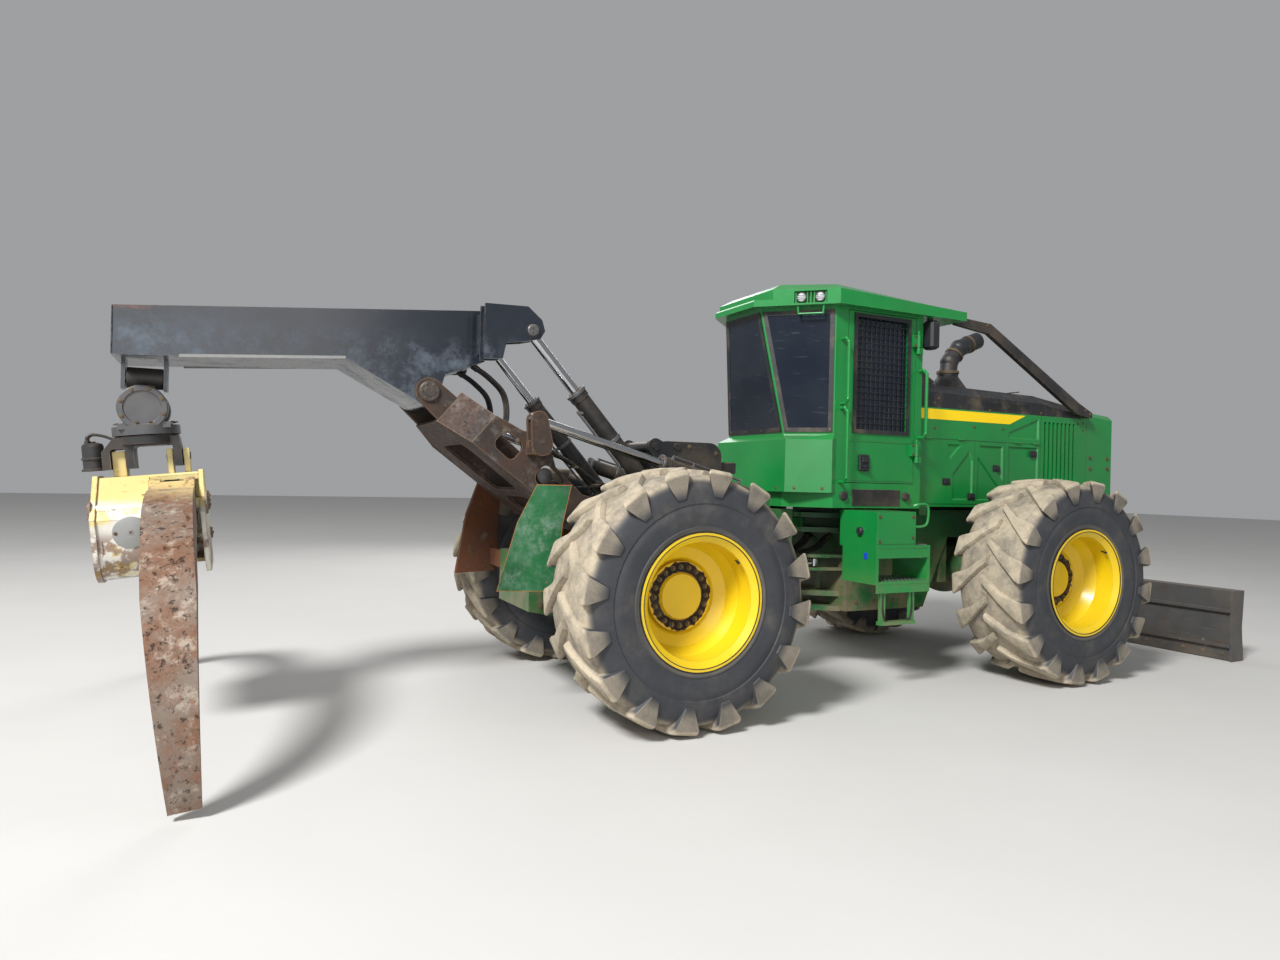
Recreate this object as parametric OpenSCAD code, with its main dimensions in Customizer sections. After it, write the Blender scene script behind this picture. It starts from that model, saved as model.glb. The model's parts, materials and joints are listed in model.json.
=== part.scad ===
// Grapple skidder: an articulated forestry machine with an arch, boom and rotating grapple.
// Millimetres, +X forward, +Y to the machine's left, +Z up, ground at z = 0.

/* [Wheels] */
// Distance between the front and rear axles
wheelbase = 3900; // [3600:10:4400]
// Distance from the rear axle forward to the origin
origin_x = 1390; // [1200:10:1600]
// Tyre radius at the tips of the lugs
tyre_r = 914; // [880:1:960]
// Tyre width over the lugs
tyre_w = 720; // [640:5:760]
// Distance of each wheel's middle from the centre line
wheel_y = 1302; // [1250:1:1400]
// Height of the lugs over the carcass
lug_h = 52; // [35:1:60]
// Lugs on each half of a tyre
lug_count = 16; // [12:1:20]
// Thickness of a lug along the tyre
lug_t = 92; // [60:1:110]
// Radius of the rim flange
rim_r = 468; // [440:1:500]
// Radius of the axle stub that carries a wheel
stub_r = 95; // [70:1:110]
// Radius of the hub ring
hub_r = 247; // [220:1:270]

/* [Middle joint] */
// Height of the lower hinge plate
hinge_low = 640; // [600:5:700]
// Height of the upper hinge plate
hinge_high = 1370; // [1300:5:1400]
// Radius of the hinge pins
hinge_pin_r = 50; // [35:1:65]
// Thickness of the rear frame's hinge tongues
tongue_t = 80; // [60:2:100]
// Thickness of the front frame's hinge ears
ear_t = 45; // [30:1:60]

/* [Frames] */
// Half width of the front frame
front_half = 420; // [380:5:460]
// Half width of the rear frame
rear_half = 385; // [340:5:388]
// Top of both frames
frame_top = 1500; // [1470:5:1520]
// Thickness of the frame side plates
rail_t = 40; // [25:1:60]

/* [Cab] */
// Half width of the cab
cab_half = 750; // [700:5:800]
// Half width of the cab's back
cab_back_half = 440; // [400:5:480]
// Reach of the cab behind the middle joint
cab_back = 460; // [420:5:500]
// Reach of the cab in front of the middle joint
cab_front = 850; // [800:5:900]
// Bottom of the cab
cab_floor = 1525; // [1500:5:1600]
// Height of the ledge under the cab's windows
cab_ledge = 2170; // [2100:5:2250]
// Height where the cab meets its roof
cab_top = 3270; // [3200:5:3350]
// Thickness of the cab's walls
wall = 60; // [40:1:80]
// Rearward and inward lean of the cab's rear corners
back_lean = 160; // [100:5:180]
// How far the skirt under the rear windows stands out
skirt_out = 55; // [30:5:65]
// Thickness of the window panes
pane_t = 6; // [4:1:10]
// Rise of the roof's rear edge over the cab
roof_rise = 150; // [120:5:200]
// Overhang of the roof round the cab
roof_out = 100; // [70:5:130]
// Bottom of the cab doors
door_low = 1750; // [1700:5:1800]

/* [Hood] */
// Half width of the hood
hood_half = 640; // [600:5:640]
// Bottom of the hood's side panels
hood_low = 1540; // [1525:5:1600]
// Seam between the hood's side doors and its upper band
hood_seam = 2180; // [2140:5:2220]
// Top edge of the hood's sides
hood_edge = 2625; // [2560:5:2640]
// Thickness of the hood's panels
panel_t = 35; // [25:1:50]
// Depth of the pressed pockets in the hood's doors
pocket_d = 14; // [6:1:18]

/* [Arch] */
// Arch pivot: distance in front of the rear axle
arch_x = 545; // [500:5:600]
// Arch pivot: height
arch_z = 1205; // [1150:5:1260]
// Half width over the arch's side plates
arch_half = 640; // [600:5:660]
// Thickness of the arch's side plates
arch_t = 30; // [20:1:40]
// Boom pivot: distance behind the rear axle
boom_x = 1585; // [1540:5:1640]
// Boom pivot: height
boom_z = 2335; // [2300:5:2380]
// Radius of the arch and boom pivot pins
pivot_pin_r = 45; // [30:1:55]

/* [Boom] */
// Half width of the boom's box
boom_half = 330; // [280:5:338]
// Reach of the boom behind its pivot
boom_reach = 1970; // [1900:10:2050]
// Distance of the hanging joint behind the boom pivot
hang_x = 1805; // [1760:5:1850]
// Half distance between the boom cylinders
boom_cyl_y = 520; // [510:1:530]
// Half distance between the arch cylinders
arch_cyl_y = 720; // [710:1:740]

/* [Grapple] */
// Drop from the boom pivot to the side swing pin
swing_drop = 5; // [0:1:30]
// Drop from the side swing pin to the snubber pin
snub_drop = 205; // [190:5:240]
// Forward lean of the parked grapple below its snubber pin
hang_tilt = 6; // [0:0.5:8]
// Half length of the grapple head
head_half_x = 315; // [290:5:340]
// Half width of the grapple head
head_half_y = 490; // [440:5:540]
// Top of the grapple head
head_top = 1700; // [1680:5:1720]
// Bottom of the grapple head
head_low = 1030; // [980:5:1080]
// Half distance between the tong pivots
tong_y = 360; // [330:5:380]
// Height of the tong pivots
tong_z = 1475; // [1450:5:1500]
// Width of a tong at its root
tong_w = 258; // [200:2:260]
// Width of a tong at its tip
tip_w = 150; // [100:2:200]

/* [Blade] */
// Half width of the blade
blade_half = 1500; // [1400:10:1600]
// Height of the blade
blade_h = 720; // [600:10:800]
// Blade pivot: distance in front of the middle joint
blade_pivot_x = 3290; // [3250:5:3350]
// Blade pivot: height
blade_pivot_z = 900; // [850:5:950]

/* [Hidden] */
$fn = 48;
seat = 0.3;
gap = 6;
fit = 0.1;
hitch_x = wheelbase / 2;
chamfer_x = cab_half - cab_back - cab_back_half;
cab_plan = [[-cab_back, cab_back_half], [chamfer_x, cab_half], [cab_front, cab_half]];

function dir(a) = [cos(a), sin(a)];
function mix(p, q, t) = p + (q - p) * t;
function reversed(list) = [for (i = [len(list) - 1:-1:0]) list[i]];
function flip(p) = [p[0], -p[1]];
function whole_plan(half) = concat([for (p = reversed(half)) p], [for (p = half) flip(p)]);
function at_z(plan, z) = [for (p = plan) [p[0], p[1], z]];
function turn(v) = [-v[1], v[0]];
function unit(v) = v / norm(v);
function cross2(a, b) = a[0] * b[1] - a[1] * b[0];
function corner(p, q, r, d) =
  let (u = unit(q - p), v = unit(r - q), a = q + turn(u) * d, b = q + turn(v) * d)
  a + u * cross2(b - a, v) / cross2(u, v);
function inset(plan, d) =
  let (n = len(plan)) [for (i = [0:n - 1]) corner(plan[(i + n - 1) % n], plan[i], plan[(i + 1) % n], d)];

module rear() translate([-origin_x, 0, 0]) children();
module front() translate([hitch_x - origin_x, 0, 0]) children();
module both() { children(); mirror([0, 1, 0]) children(); }
module plate(y, t) translate([0, y + t / 2, 0]) rotate([90, 0, 0]) linear_extrude(t) children();
module pin_y(p, r, y0, y1) translate([p[0], y1, p[1]]) rotate([90, 0, 0]) cylinder(h = y1 - y0, r = r);
module pin_x(p, r, x0, x1) translate([x0, p[0], p[1]]) rotate([0, 90, 0]) cylinder(h = x1 - x0, r = r);
module box(a, b) translate(a) cube(b - a);
module rod(p, q, r) {
  v = q - p;
  translate(p) rotate([0, acos(v[2] / norm(v)), atan2(v[1], v[0])]) cylinder(h = norm(v), r = r);
}
module bent_tube(points, r) {
  for (i = [0:len(points) - 2]) rod(points[i], points[i + 1], r);
  for (i = [1:len(points) - 2]) translate(points[i]) sphere(r = 1.08 * r);
}
module link(p, q, r1, r2) {
  v = q - p;
  a = atan2(v[1], v[0]);
  b = acos((r1 - r2) / norm(v));
  polygon([p + r1 * dir(a + b), p + r1 * dir(a - b), q + r2 * dir(a - b), q + r2 * dir(a + b)]);
  translate(p) circle(r = r1);
  translate(q) circle(r = r2);
}
module round_box(p, q, r) {
  translate(p + [r, 0]) square([q[0] - p[0] - 2 * r, q[1] - p[1]]);
  translate(p + [0, r]) square([q[0] - p[0], q[1] - p[1] - 2 * r]);
  for (x = [p[0] + r, q[0] - r], y = [p[1] + r, q[1] - r]) translate([x, y]) circle(r = r);
}
function flat(points, q) =
  let (a = points[q[0]], n = cross(points[q[1]] - a, points[q[2]] - a))
  abs(n * (points[q[3]] - a)) < 0.001 * norm(n);
// Solid through like sections, each a ring of points in the same order
module loft(sections) {
  n = len(sections[0]);
  last = (len(sections) - 1) * n;
  points = [for (s = sections) each s];
  quads = [for (k = [0:len(sections) - 2], i = [0:n - 1])
    [k * n + i, k * n + n + i, k * n + n + (i + 1) % n, k * n + (i + 1) % n]];
  sides = [for (q = quads) each flat(points, q) ? [q] : [[q[0], q[1], q[2]], [q[0], q[2], q[3]]]];
  polyhedron(points, concat([[for (i = [0:n - 1]) i]], sides, [[for (i = [n - 1:-1:0]) last + i]]));
}

// Wheels, centred on the origin with the outer face towards +Y
tyre_half = tyre_w / 2;
carcass_r = tyre_r - lug_h;
bead_y = 318;
module tyre_carcass() rotate([-90, 0, 0]) rotate_extrude($fn = 96) difference() {
  polygon([[rim_r - 38, -bead_y], [rim_r + 40, -bead_y - 22], [rim_r + 190, -tyre_half + 14],
    [carcass_r - 90, -tyre_half + 16], [carcass_r - 18, -tyre_half + 55], [carcass_r, -tyre_half + 150],
    [carcass_r, tyre_half - 150], [carcass_r - 18, tyre_half - 55], [carcass_r - 90, tyre_half - 16],
    [rim_r + 190, tyre_half - 14], [rim_r + 40, bead_y + 22], [rim_r - 38, bead_y]]);
}
// Stations along a lug: [share of the half width, turn in degrees, radius, half thickness]
lug_rows = [
  [-0.06, -1.5, tyre_r, lug_t * 0.36],
  [0.45, 8, tyre_r - 2, lug_t * 0.42],
  [0.90, 14.5, tyre_r - 12, lug_t * 0.58],
  [1.00, 15.5, tyre_r - 70, lug_t * 0.60]
];
function lug_ring(row) =
  let (y = row[0] * tyre_half, low = min(carcass_r - 12, row[2] - 30) - (row[0] > 0.95 ? 60 : 0))
  [for (c = [[low, 1.2], [row[2], 1], [row[2], -1], [low, -1.2]])
    let (a = row[1] + c[1] * row[3] / tyre_r * 57.3) [c[0] * cos(a), y, c[0] * sin(a)]];
module lug() loft([for (row = lug_rows) lug_ring(row)]);
module tyre() {
  tyre_carcass();
  for (i = [0:lug_count - 1]) {
    rotate([0, i * 360 / lug_count, 0]) lug();
    rotate([0, (i + 0.5) * 360 / lug_count, 0]) mirror([0, 1, 0]) lug();
  }
}
hub_face = -20;
hub_in = -190;
rim_seat_r = rim_r - 38 - seat;
module rim() rotate([-90, 0, 0]) rotate_extrude($fn = 96) polygon([
  [rim_seat_r, -bead_y], [rim_seat_r, bead_y], [rim_r, bead_y + 12], [rim_r, bead_y + 30],
  [rim_r - 16, bead_y + 30], [rim_r - 64, bead_y - 10], [rim_r - 70, 150], [rim_r - 118, 60],
  [hub_r + 26, 15], [hub_r, hub_face], [hub_r, hub_face + 38], [170, hub_face + 38],
  [157, hub_face + 62], [0, hub_face + 62], [0, hub_face - 15], [stub_r + fit, hub_face - 15],
  [stub_r + fit, hub_in], [hub_r - 15, hub_in], [hub_r - 15, hub_face - 25], [rim_r - 130, 15],
  [rim_r - 92, 100], [rim_r - 66, -bead_y + 20], [rim_r - 20, -bead_y - 30], [rim_r, -bead_y - 30],
  [rim_r, -bead_y - 12]]);
module wheel_place(x, s) translate([x, s * wheel_y, tyre_r]) mirror([0, s < 0 ? 1 : 0, 0]) children();

// Axles, centred on the machine's middle at ground level
module axle_body() {
  translate([0, 0, tyre_r]) {
    both() rotate([-90, 0, 0]) {
      cylinder(h = 1000, r1 = 210, r2 = 140);
      translate([0, 0, 880]) cylinder(h = wheel_y + hub_in - gap - 880, r = hub_r - 20);
      translate([0, 0, wheel_y + hub_in - gap - 1]) cylinder(h = hub_face - 15 - hub_in + 1, r = stub_r);
    }
    sphere(r = 285);
    pin_x([0, 0], 170, -330, 330);
  }
}

// Front half, measured from the middle joint
axle_x = hitch_x;
trunnion_x = 430;
trunnion_r = 90;
rail_y = front_half - rail_t / 2;
front_nose = 3700;
hitch_plate = 300;
ear_gap = tongue_t / 2 + gap;
hinge_heights = [hinge_low, hinge_high];
module hinge_plate(z, r, side_half, t) {
  translate([0, 0, z]) linear_extrude(t) {
    circle(r = r);
    polygon([[0, r], [hitch_plate + 10, side_half], [hitch_plate + 10, -side_half], [0, -r]]);
  }
}
blade_pivot = [blade_pivot_x, blade_pivot_z];
blade_pin_r = 40;
blade_arm_t = 60;
blade_cyl_y = 300;
blade_cyl_base = [front_nose + 40, 1330];
blade_cyl_eye = [4370, 660];
steer_base = [-800, 250];
steer_eye = [50, 250];
steer_z = 1005;
steer_gap = 47;
lug_plate = 25;
outrigger_x = [960, 2900];
cab_pad_x = [380, 790];
tow_x = front_nose + 40;
tow_r = 22;
module front_frame() color([0.05, 0.22, 0.10]) front() {
  both() plate(rail_y, rail_t) polygon([
    [hitch_plate, 560], [1250, 560], [1450, 1010], [1560, 1235], [2340, 1235],
    [2450, 1010], [2700, 760], [front_nose - 60, 760], [front_nose - 60, frame_top],
    [hitch_plate, frame_top]]);
  box([hitch_plate, -front_half, 560], [hitch_plate + 40, front_half, frame_top]);
  box([hitch_plate + 30, -rail_y, 560], [1200, rail_y, 590]);
  box([hitch_plate + 30, -rail_y, frame_top - 30], [1250, rail_y, frame_top]);
  box([2720, -rail_y, 760], [front_nose - 60, rail_y, 790]);
  box([front_nose - 80, -front_half, 760], [front_nose - 20, front_half, frame_top]);
  for (s = [-1, 1]) difference() {
    box([axle_x + s * trunnion_x - 45, -rail_y, 790], [axle_x + s * trunnion_x + 45, rail_y, 1250]);
    pin_x([0, tyre_r], trunnion_r + fit, axle_x + s * trunnion_x - 60, axle_x + s * trunnion_x + 60);
  }
  for (h = hinge_heights, z = [h + ear_gap, h - ear_gap - ear_t]) difference() {
    hinge_plate(z, 115, 330, ear_t);
    translate([0, 0, z - 5]) cylinder(h = ear_t + 10, r = hinge_pin_r + fit);
  }
  for (x = outrigger_x) box([x, -hood_half, frame_top - 40], [x + 90, hood_half, hood_low - seat]);
  difference() {
    box([front_nose - 30, -70, 800], [tow_x + 50, 70, 845]);
    translate([tow_x, 0, 790]) cylinder(h = 70, r = tow_r);
  }
  both() {
    for (z = [steer_z + steer_gap, steer_z - steer_gap - lug_plate]) translate([0, 0, z])
      linear_extrude(lug_plate) intersection() {
        link(steer_eye, [hitch_plate, 310], 60, 75);
        translate([-20, 0]) square([hitch_plate + 40, 600]);
      }
    for (x = cab_pad_x) translate([x, 340, frame_top - 10]) cylinder(h = cab_floor - seat - frame_top + 10, r = 55);
    pin_y(blade_pivot, blade_pin_r, rail_y, front_half + gap + blade_arm_t + 4);
    pin_y(blade_pivot, blade_pin_r + 30, rail_y, front_half + 1);
    for (y = [blade_cyl_y - 60, blade_cyl_y + 60]) plate(y, lug_plate) intersection() {
      link(blade_cyl_base, [front_nose - 40, 1330], 55, 90);
      translate([front_nose - 60, 1200]) square([200, 250]);
    }
    pin_y(blade_cyl_base, 25, blade_cyl_y - 60, blade_cyl_y + 60);
    box([hitch_plate + 10, rail_y, 1300], [hitch_plate + 110, cab_half - 60 - seat, 1400]);
  }
}
module front_axle() color([0.09, 0.30, 0.14]) front() translate([axle_x, 0, 0]) {
  axle_body();
  pin_x([0, tyre_r], trunnion_r, -trunnion_x - 60, trunnion_x + 60);
}
module engine_block() color([0.2, 0.21, 0.2]) front() {
  box([1300, -300, frame_top - 100], [2400, 300, 2350]);
  for (x = [1400, 2200]) box([x, -front_half + rail_t + seat, frame_top - 90],
    [x + 100, front_half - rail_t - seat, frame_top - 40]);
}

// Cab, measured from the middle joint
cab_plan_top = [[-cab_back - back_lean, cab_back_half - back_lean], [chamfer_x, cab_half], [cab_front, cab_half]];
door_x = [-10, 765];
door_top = cab_top - 20;
knuckle_h = 110;
knuckle_r = 20;
hinge_axis = [door_x[1] + 10, cab_half + knuckle_r + 4];
strap_t = 10;
hinge_z = [door_low + 300, door_top - 210];
window_low = cab_ledge + 40;
window_top = cab_top - 60;
window_edge = 45;
pane_edge = 14;
module cab_solid(d, z0, z1) {
  low = inset(whole_plan(cab_plan), d);
  top = inset(whole_plan(cab_plan_top), d);
  loft([at_z(low, z0), at_z(low, cab_ledge), at_z(top, z1)]);
}
// Half width of the cab's back at a height above the ledge
function back_half_at(z) = cab_back_half - back_lean * (z - cab_ledge) / (cab_top - cab_ledge);
module rear_window(edge, x0, x1) {
  z = [window_low - window_edge + edge, window_top + window_edge - edge];
  half = [for (h = z) back_half_at(h) - edge];
  in_yz(x0, x1 - x0) polygon([[-half[0], z[0]], [half[0], z[0]], [half[1], z[1]], [-half[1], z[1]]]);
}
// The slanted plane between the cab's back and its side stands at 45 degrees
module on_chamfer() translate([chamfer_x, cab_half, 0]) rotate([0, 0, 45]) children();
module chamfer_window(edge, y0, y1) {
  z = [window_low - window_edge + edge, window_top + window_edge - edge];
  far = [for (h = z) sqrt(2) * (back_half_at(h) - cab_half) + edge];
  on_chamfer() plate((y0 + y1) / 2, y1 - y0) polygon([[far[0], z[0]], [-edge, z[0]], [-edge, z[1]], [far[1], z[1]]]);
}
skirt_z = [cab_floor + 130, cab_ledge - 60];
function skirt_plan(out) = whole_plan([[-cab_back - out, cab_back_half + 60 + out], [chamfer_x - 35, cab_half + 25],
  [chamfer_x + 40, cab_half - 6]]);
module skirt(d) loft([at_z(inset(skirt_plan(skirt_out + 10), d), skirt_z[0] + d),
  at_z(inset(skirt_plan(skirt_out), d), skirt_z[1] - d)]);
module skirt_ledge() loft([at_z(skirt_plan(skirt_out), skirt_z[1]),
  at_z(whole_plan([[-cab_back + 6, cab_back_half - 6], [chamfer_x, cab_half - 9], [chamfer_x + 40, cab_half - 9]]),
    cab_ledge - 8)]);
front_glass = [[cab_half - 110, hood_edge + 120], [cab_half - 110, window_top]];
module cab_shell() color([0.05, 0.38, 0.14]) front() {
  difference() {
    union() {
      cab_solid(0, cab_floor, cab_top);
      skirt(0);
      skirt_ledge();
    }
    cab_solid(wall, cab_floor + wall, cab_top + 50);
    skirt(wall);
    rear_window(window_edge, -cab_back - back_lean - 50, -cab_back + wall + 40);
    both() {
      box([door_x[0] - gap, cab_half - wall - 20, door_low - gap], [door_x[1] + gap, cab_half + 20, door_top + gap]);
      chamfer_window(window_edge, -wall - 30, 30);
    }
    box([cab_front - wall - 20, -front_glass[0][0], front_glass[0][1]],
      [cab_front + 20, front_glass[1][0], front_glass[1][1]]);
  }
  both() for (z = hinge_z) {
    translate([hinge_axis[0], hinge_axis[1], z - knuckle_h / 2]) cylinder(h = 1.4 * knuckle_h, r = 10);
    translate([hinge_axis[0], hinge_axis[1], z - knuckle_h]) cylinder(h = knuckle_h / 2, r = knuckle_r);
    box([hinge_axis[0], cab_half - 10, z - knuckle_h], [hinge_axis[0] + 50, hinge_axis[1] + 8, z - knuckle_h / 2]);
  }
}
// Roof: a thin visor over the whole cab and a deeper block with lamps in its slanted rear corners
roof_nose = cab_front + 440;
roof_block_x = -cab_back - 140;
visor_t = 62;
roof_corner = (sqrt(2) - 1) * roof_out;
lamp_r = 42;
lamp_pocket = [280, 104, 50];
roof_plan = [[-cab_back - back_lean - roof_out, cab_back_half - back_lean + roof_corner],
  [chamfer_x - roof_corner, cab_half + roof_out], [roof_nose, cab_half + roof_out]];
roof_block = [[roof_block_x, roof_block_x + cab_back + cab_back_half + sqrt(2) * roof_out], roof_plan[1],
  roof_plan[2]];
roof_back = cab_top + roof_rise;
roof_front = cab_top + roof_rise - 70;
roof_tail = roof_plan[0][0];
function roof_z(x, rise) =
  roof_back + rise + (x - roof_tail) * (roof_front - roof_back - rise * 0.6) / (roof_nose - roof_tail);
module on_roof_corner() translate((concat(roof_block[0], 0) + concat(roof_block[1], 0)) / 2 + [25, 25, 0])
  rotate([0, 0, 45]) children();
module cab_roof() color([0.05, 0.40, 0.15]) front() {
  outer = whole_plan(roof_block);
  inner = inset(outer, 110);
  visor = whole_plan(roof_plan);
  lamp_z = cab_top + 16 + lamp_pocket[1] / 2;
  difference() {
    union() {
      loft([at_z(visor, cab_top + seat), at_z(visor, cab_top + visor_t - 14),
        at_z(inset(visor, 12), cab_top + visor_t)]);
      loft([at_z(outer, cab_top + visor_t - 20), [for (p = outer) [p[0], p[1], roof_z(p[0], 0)]],
        [for (p = inner) [p[0], p[1], roof_z(p[0], 70)]]]);
    }
    both() on_roof_corner() translate([-lamp_pocket[0] / 2, -lamp_pocket[2], lamp_z - lamp_pocket[1] / 2])
      cube([lamp_pocket[0], 2 * lamp_pocket[2], lamp_pocket[1]]);
    for (y = [-500, 500]) translate([roof_nose - 40, y - 160, cab_top + 12]) cube([80, 320, 52]);
  }
  both() on_roof_corner() for (x = [-80, 80]) pin_y([x, lamp_z], lamp_r, 10 - lamp_pocket[2] * 1.5, -14);
  for (y = [-580, -420, 420, 580]) pin_x([y, cab_top + 38], 22, roof_nose - 60, roof_nose - 12);
  both() on_roof_corner() bent_tube([for (c = [[-115, 30], [-105, -72], [105, -72], [115, 30]])
    [c[0], -24, cab_top + c[1]]], 9);
}
module cab_glass() color([0.2, 0.25, 0.27, 0.5]) front() {
  difference() {
    intersection() {
      cab_solid(-seat - pane_t, cab_floor, cab_top);
      union() {
        rear_window(pane_edge, -cab_back - back_lean - 60, -cab_back + 30);
        both() chamfer_window(pane_edge, -30, 30);
      }
    }
    cab_solid(-seat, cab_floor, cab_top);
  }
  box([cab_front - 40, -front_glass[0][0] + seat, front_glass[0][1] + seat],
    [cab_front - 40 + pane_t, front_glass[1][0] - seat, front_glass[1][1] - seat]);
}
module cab_inside() color([0.12, 0.12, 0.13]) front() {
  box([140, -230, cab_floor + wall + seat], [520, 230, cab_floor + 330]);
  box([60, -270, cab_floor + 320], [600, 270, cab_floor + 460]);
  box([40, -250, cab_floor + 420], [180, 250, cab_floor + 1150]);
  both() box([120, 300, cab_floor + wall + seat], [640, 420, cab_floor + 640]);
}
module door() color([0.05, 0.38, 0.14]) front() {
  difference() {
    box([door_x[0], cab_half - wall, door_low], [door_x[1], cab_half, door_top]);
    plate(cab_half - wall / 2, wall + 20)
      round_box([door_x[0] + 75, cab_ledge + 30], [door_x[1] - 85, door_top - 35], 30);
  }
  for (z = hinge_z) difference() {
    union() {
      translate([hinge_axis[0], hinge_axis[1], z - knuckle_h / 2 + 4]) cylinder(h = knuckle_h, r = knuckle_r);
      box([door_x[1] - 60, cab_half - 5, z - knuckle_h / 2 + 4],
        [door_x[1] - 1, hinge_axis[1] + strap_t, z + knuckle_h / 2]);
      box([door_x[1] - 10, cab_half + 4, z - knuckle_h / 2 + 4],
        [hinge_axis[0], hinge_axis[1] + strap_t, z + knuckle_h / 2]);
    }
    translate([hinge_axis[0], hinge_axis[1], z - knuckle_h]) cylinder(h = 2 * knuckle_h, r = 10 + fit);
  }
}
module door_left() door();
module door_right() mirror([0, 1, 0]) door();

// Hood and nose, in sections [x, drop of the edge]
nose_x = 3195;
exhaust_x = 1950;
exhaust_r = 235;
hood_step_x = 2590;
crown = 90;
shoulder = 110;
side_top = hood_edge - 150;
function hood_ring(x, drop) = [
  [x, -hood_half, side_top], [x, -hood_half, hood_edge - drop],
  [x, -hood_half + shoulder, hood_edge + crown - drop], [x, hood_half - shoulder, hood_edge + crown - drop],
  [x, hood_half, hood_edge - drop], [x, hood_half, side_top]];
module hood_top() color([0.08, 0.09, 0.10]) front() difference() {
  loft([for (r = [[cab_front + 2, 0], [hood_step_x, 30], [nose_x - 2, 110]]) reversed(hood_ring(r[0], r[1]))]);
  translate([0, -panel_t, -panel_t]) loft([for (r = [[cab_front + 60, 0], [hood_step_x, 30], [nose_x - 60, 110]])
    reversed([for (p = hood_ring(r[0], r[1])) [p[0], p[1] * 0.94 + panel_t, p[2] - 10]])]);
  translate([exhaust_x, 0, hood_edge - 100]) cylinder(h = 400, r = exhaust_r + seat);
}
louvre_x = 2640;
louvre_step = 62;
seam_w = 8;
door_seams = [1665, 2080];
seam_low = hood_low + 25;
// Pressed pockets in the hood's side, each a ring of points in the side view
pockets = [
  [[2125, 2225], [2560, 2225], [2560, 2440], [2125, 2290]],
  [[2125, seam_low + 50], [2555, seam_low + 50], [2555, hood_seam - 35], [2125, hood_seam - 35]],
  [[1300, 2138], [1330, 1985], [1490, 2138]],
  [[1375, seam_low + 40], [1640, seam_low + 40], [1640, 1990], [1590, 2085], [1375, 1860]],
  [[1700, seam_low + 40], [2050, seam_low + 40], [2050, 1690], [1700, 2040]],
  [[2050, 1800], [2050, 2140], [1720, 2140]]
];
module pocket(points) loft([for (s = [[-2, 2], [pocket_d, -pocket_d]])
  [for (p = inset(points, s[0])) [p[0], hood_half + s[1], p[1]]]]);
module hood_side() color([0.05, 0.36, 0.13]) front() difference() {
  plate(hood_half - panel_t / 2, panel_t) polygon([[cab_front + 2, hood_low], [nose_x - 2, hood_low],
    [nose_x - 2, side_top - seat], [cab_front + 2, side_top - seat]]);
  for (i = [0:7])
    box([louvre_x + i * louvre_step, hood_half - panel_t - 5, 1750],
      [louvre_x + 30 + i * louvre_step, hood_half + 5, side_top - 60]);
  for (p = pockets) pocket(p);
  for (x = door_seams) box([x - seam_w / 2, hood_half - 10, seam_low], [x + seam_w / 2, hood_half + 5, hood_seam]);
  box([cab_front - 5, hood_half - 10, hood_seam - seam_w / 2], [hood_step_x, hood_half + 5, hood_seam + seam_w / 2]);
  box([hood_step_x - seam_w / 2, hood_half - 10, hood_low - 5],
    [hood_step_x + seam_w / 2, hood_half + 5, side_top + 5]);
  box([cab_front - 5, hood_half - 10, seam_low - seam_w / 2], [hood_step_x, hood_half + 5, seam_low + seam_w / 2]);
}
module hood_side_left() hood_side();
module hood_side_right() mirror([0, 1, 0]) hood_side();
nose_top = 2525;
nose_rise = 40;
nose_chamfer = 45;
module radiator_housing() color([0.05, 0.36, 0.13]) front() {
  difference() {
    loft([for (r = [[nose_x, nose_top + nose_rise], [front_nose, nose_top]]) [[r[0], hood_half, frame_top + seat],
      [r[0], hood_half, r[1] - nose_chamfer], [r[0], hood_half - nose_chamfer, r[1]],
      [r[0], -hood_half + nose_chamfer, r[1]], [r[0], -hood_half, r[1] - nose_chamfer],
      [r[0], -hood_half, frame_top + seat]]]);
    box([front_nose - 120, -hood_half + 90, frame_top + 120], [front_nose + 5, hood_half - 90, nose_top - 95]);
    both() box([nose_x + 90, hood_half - 6, frame_top + 60], [nose_x + 96, hood_half + 5, nose_top - 90]);
  }
  for (y = [-480:80:480]) box([front_nose - 125, y - 8, frame_top + 110], [front_nose - 60, y + 8, nose_top - 90]);
}
stack = [[0, 0, 205], [20, 0, 350], [150, 0, 500], [420, 0, 610]];
module exhaust() color([0.10, 0.10, 0.11]) front() translate([exhaust_x, 0, hood_edge + crown - 15]) {
  translate([0, 0, -60]) cylinder(h = 85, r = exhaust_r);
  translate([0, 0, 25]) cylinder(h = 180, r1 = 215, r2 = 92);
  translate([0, 0, 190]) cylinder(h = 40, r = 105);
  for (i = [0:1]) {
    rod(stack[i], stack[i + 1], 88);
    translate(stack[i + 1]) sphere(r = 94);
  }
  difference() {
    rod(stack[2], stack[3], 88);
    rod(mix(stack[2], stack[3], 0.5), stack[3] + (stack[3] - stack[2]) * 0.1, 74);
  }
}
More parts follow.
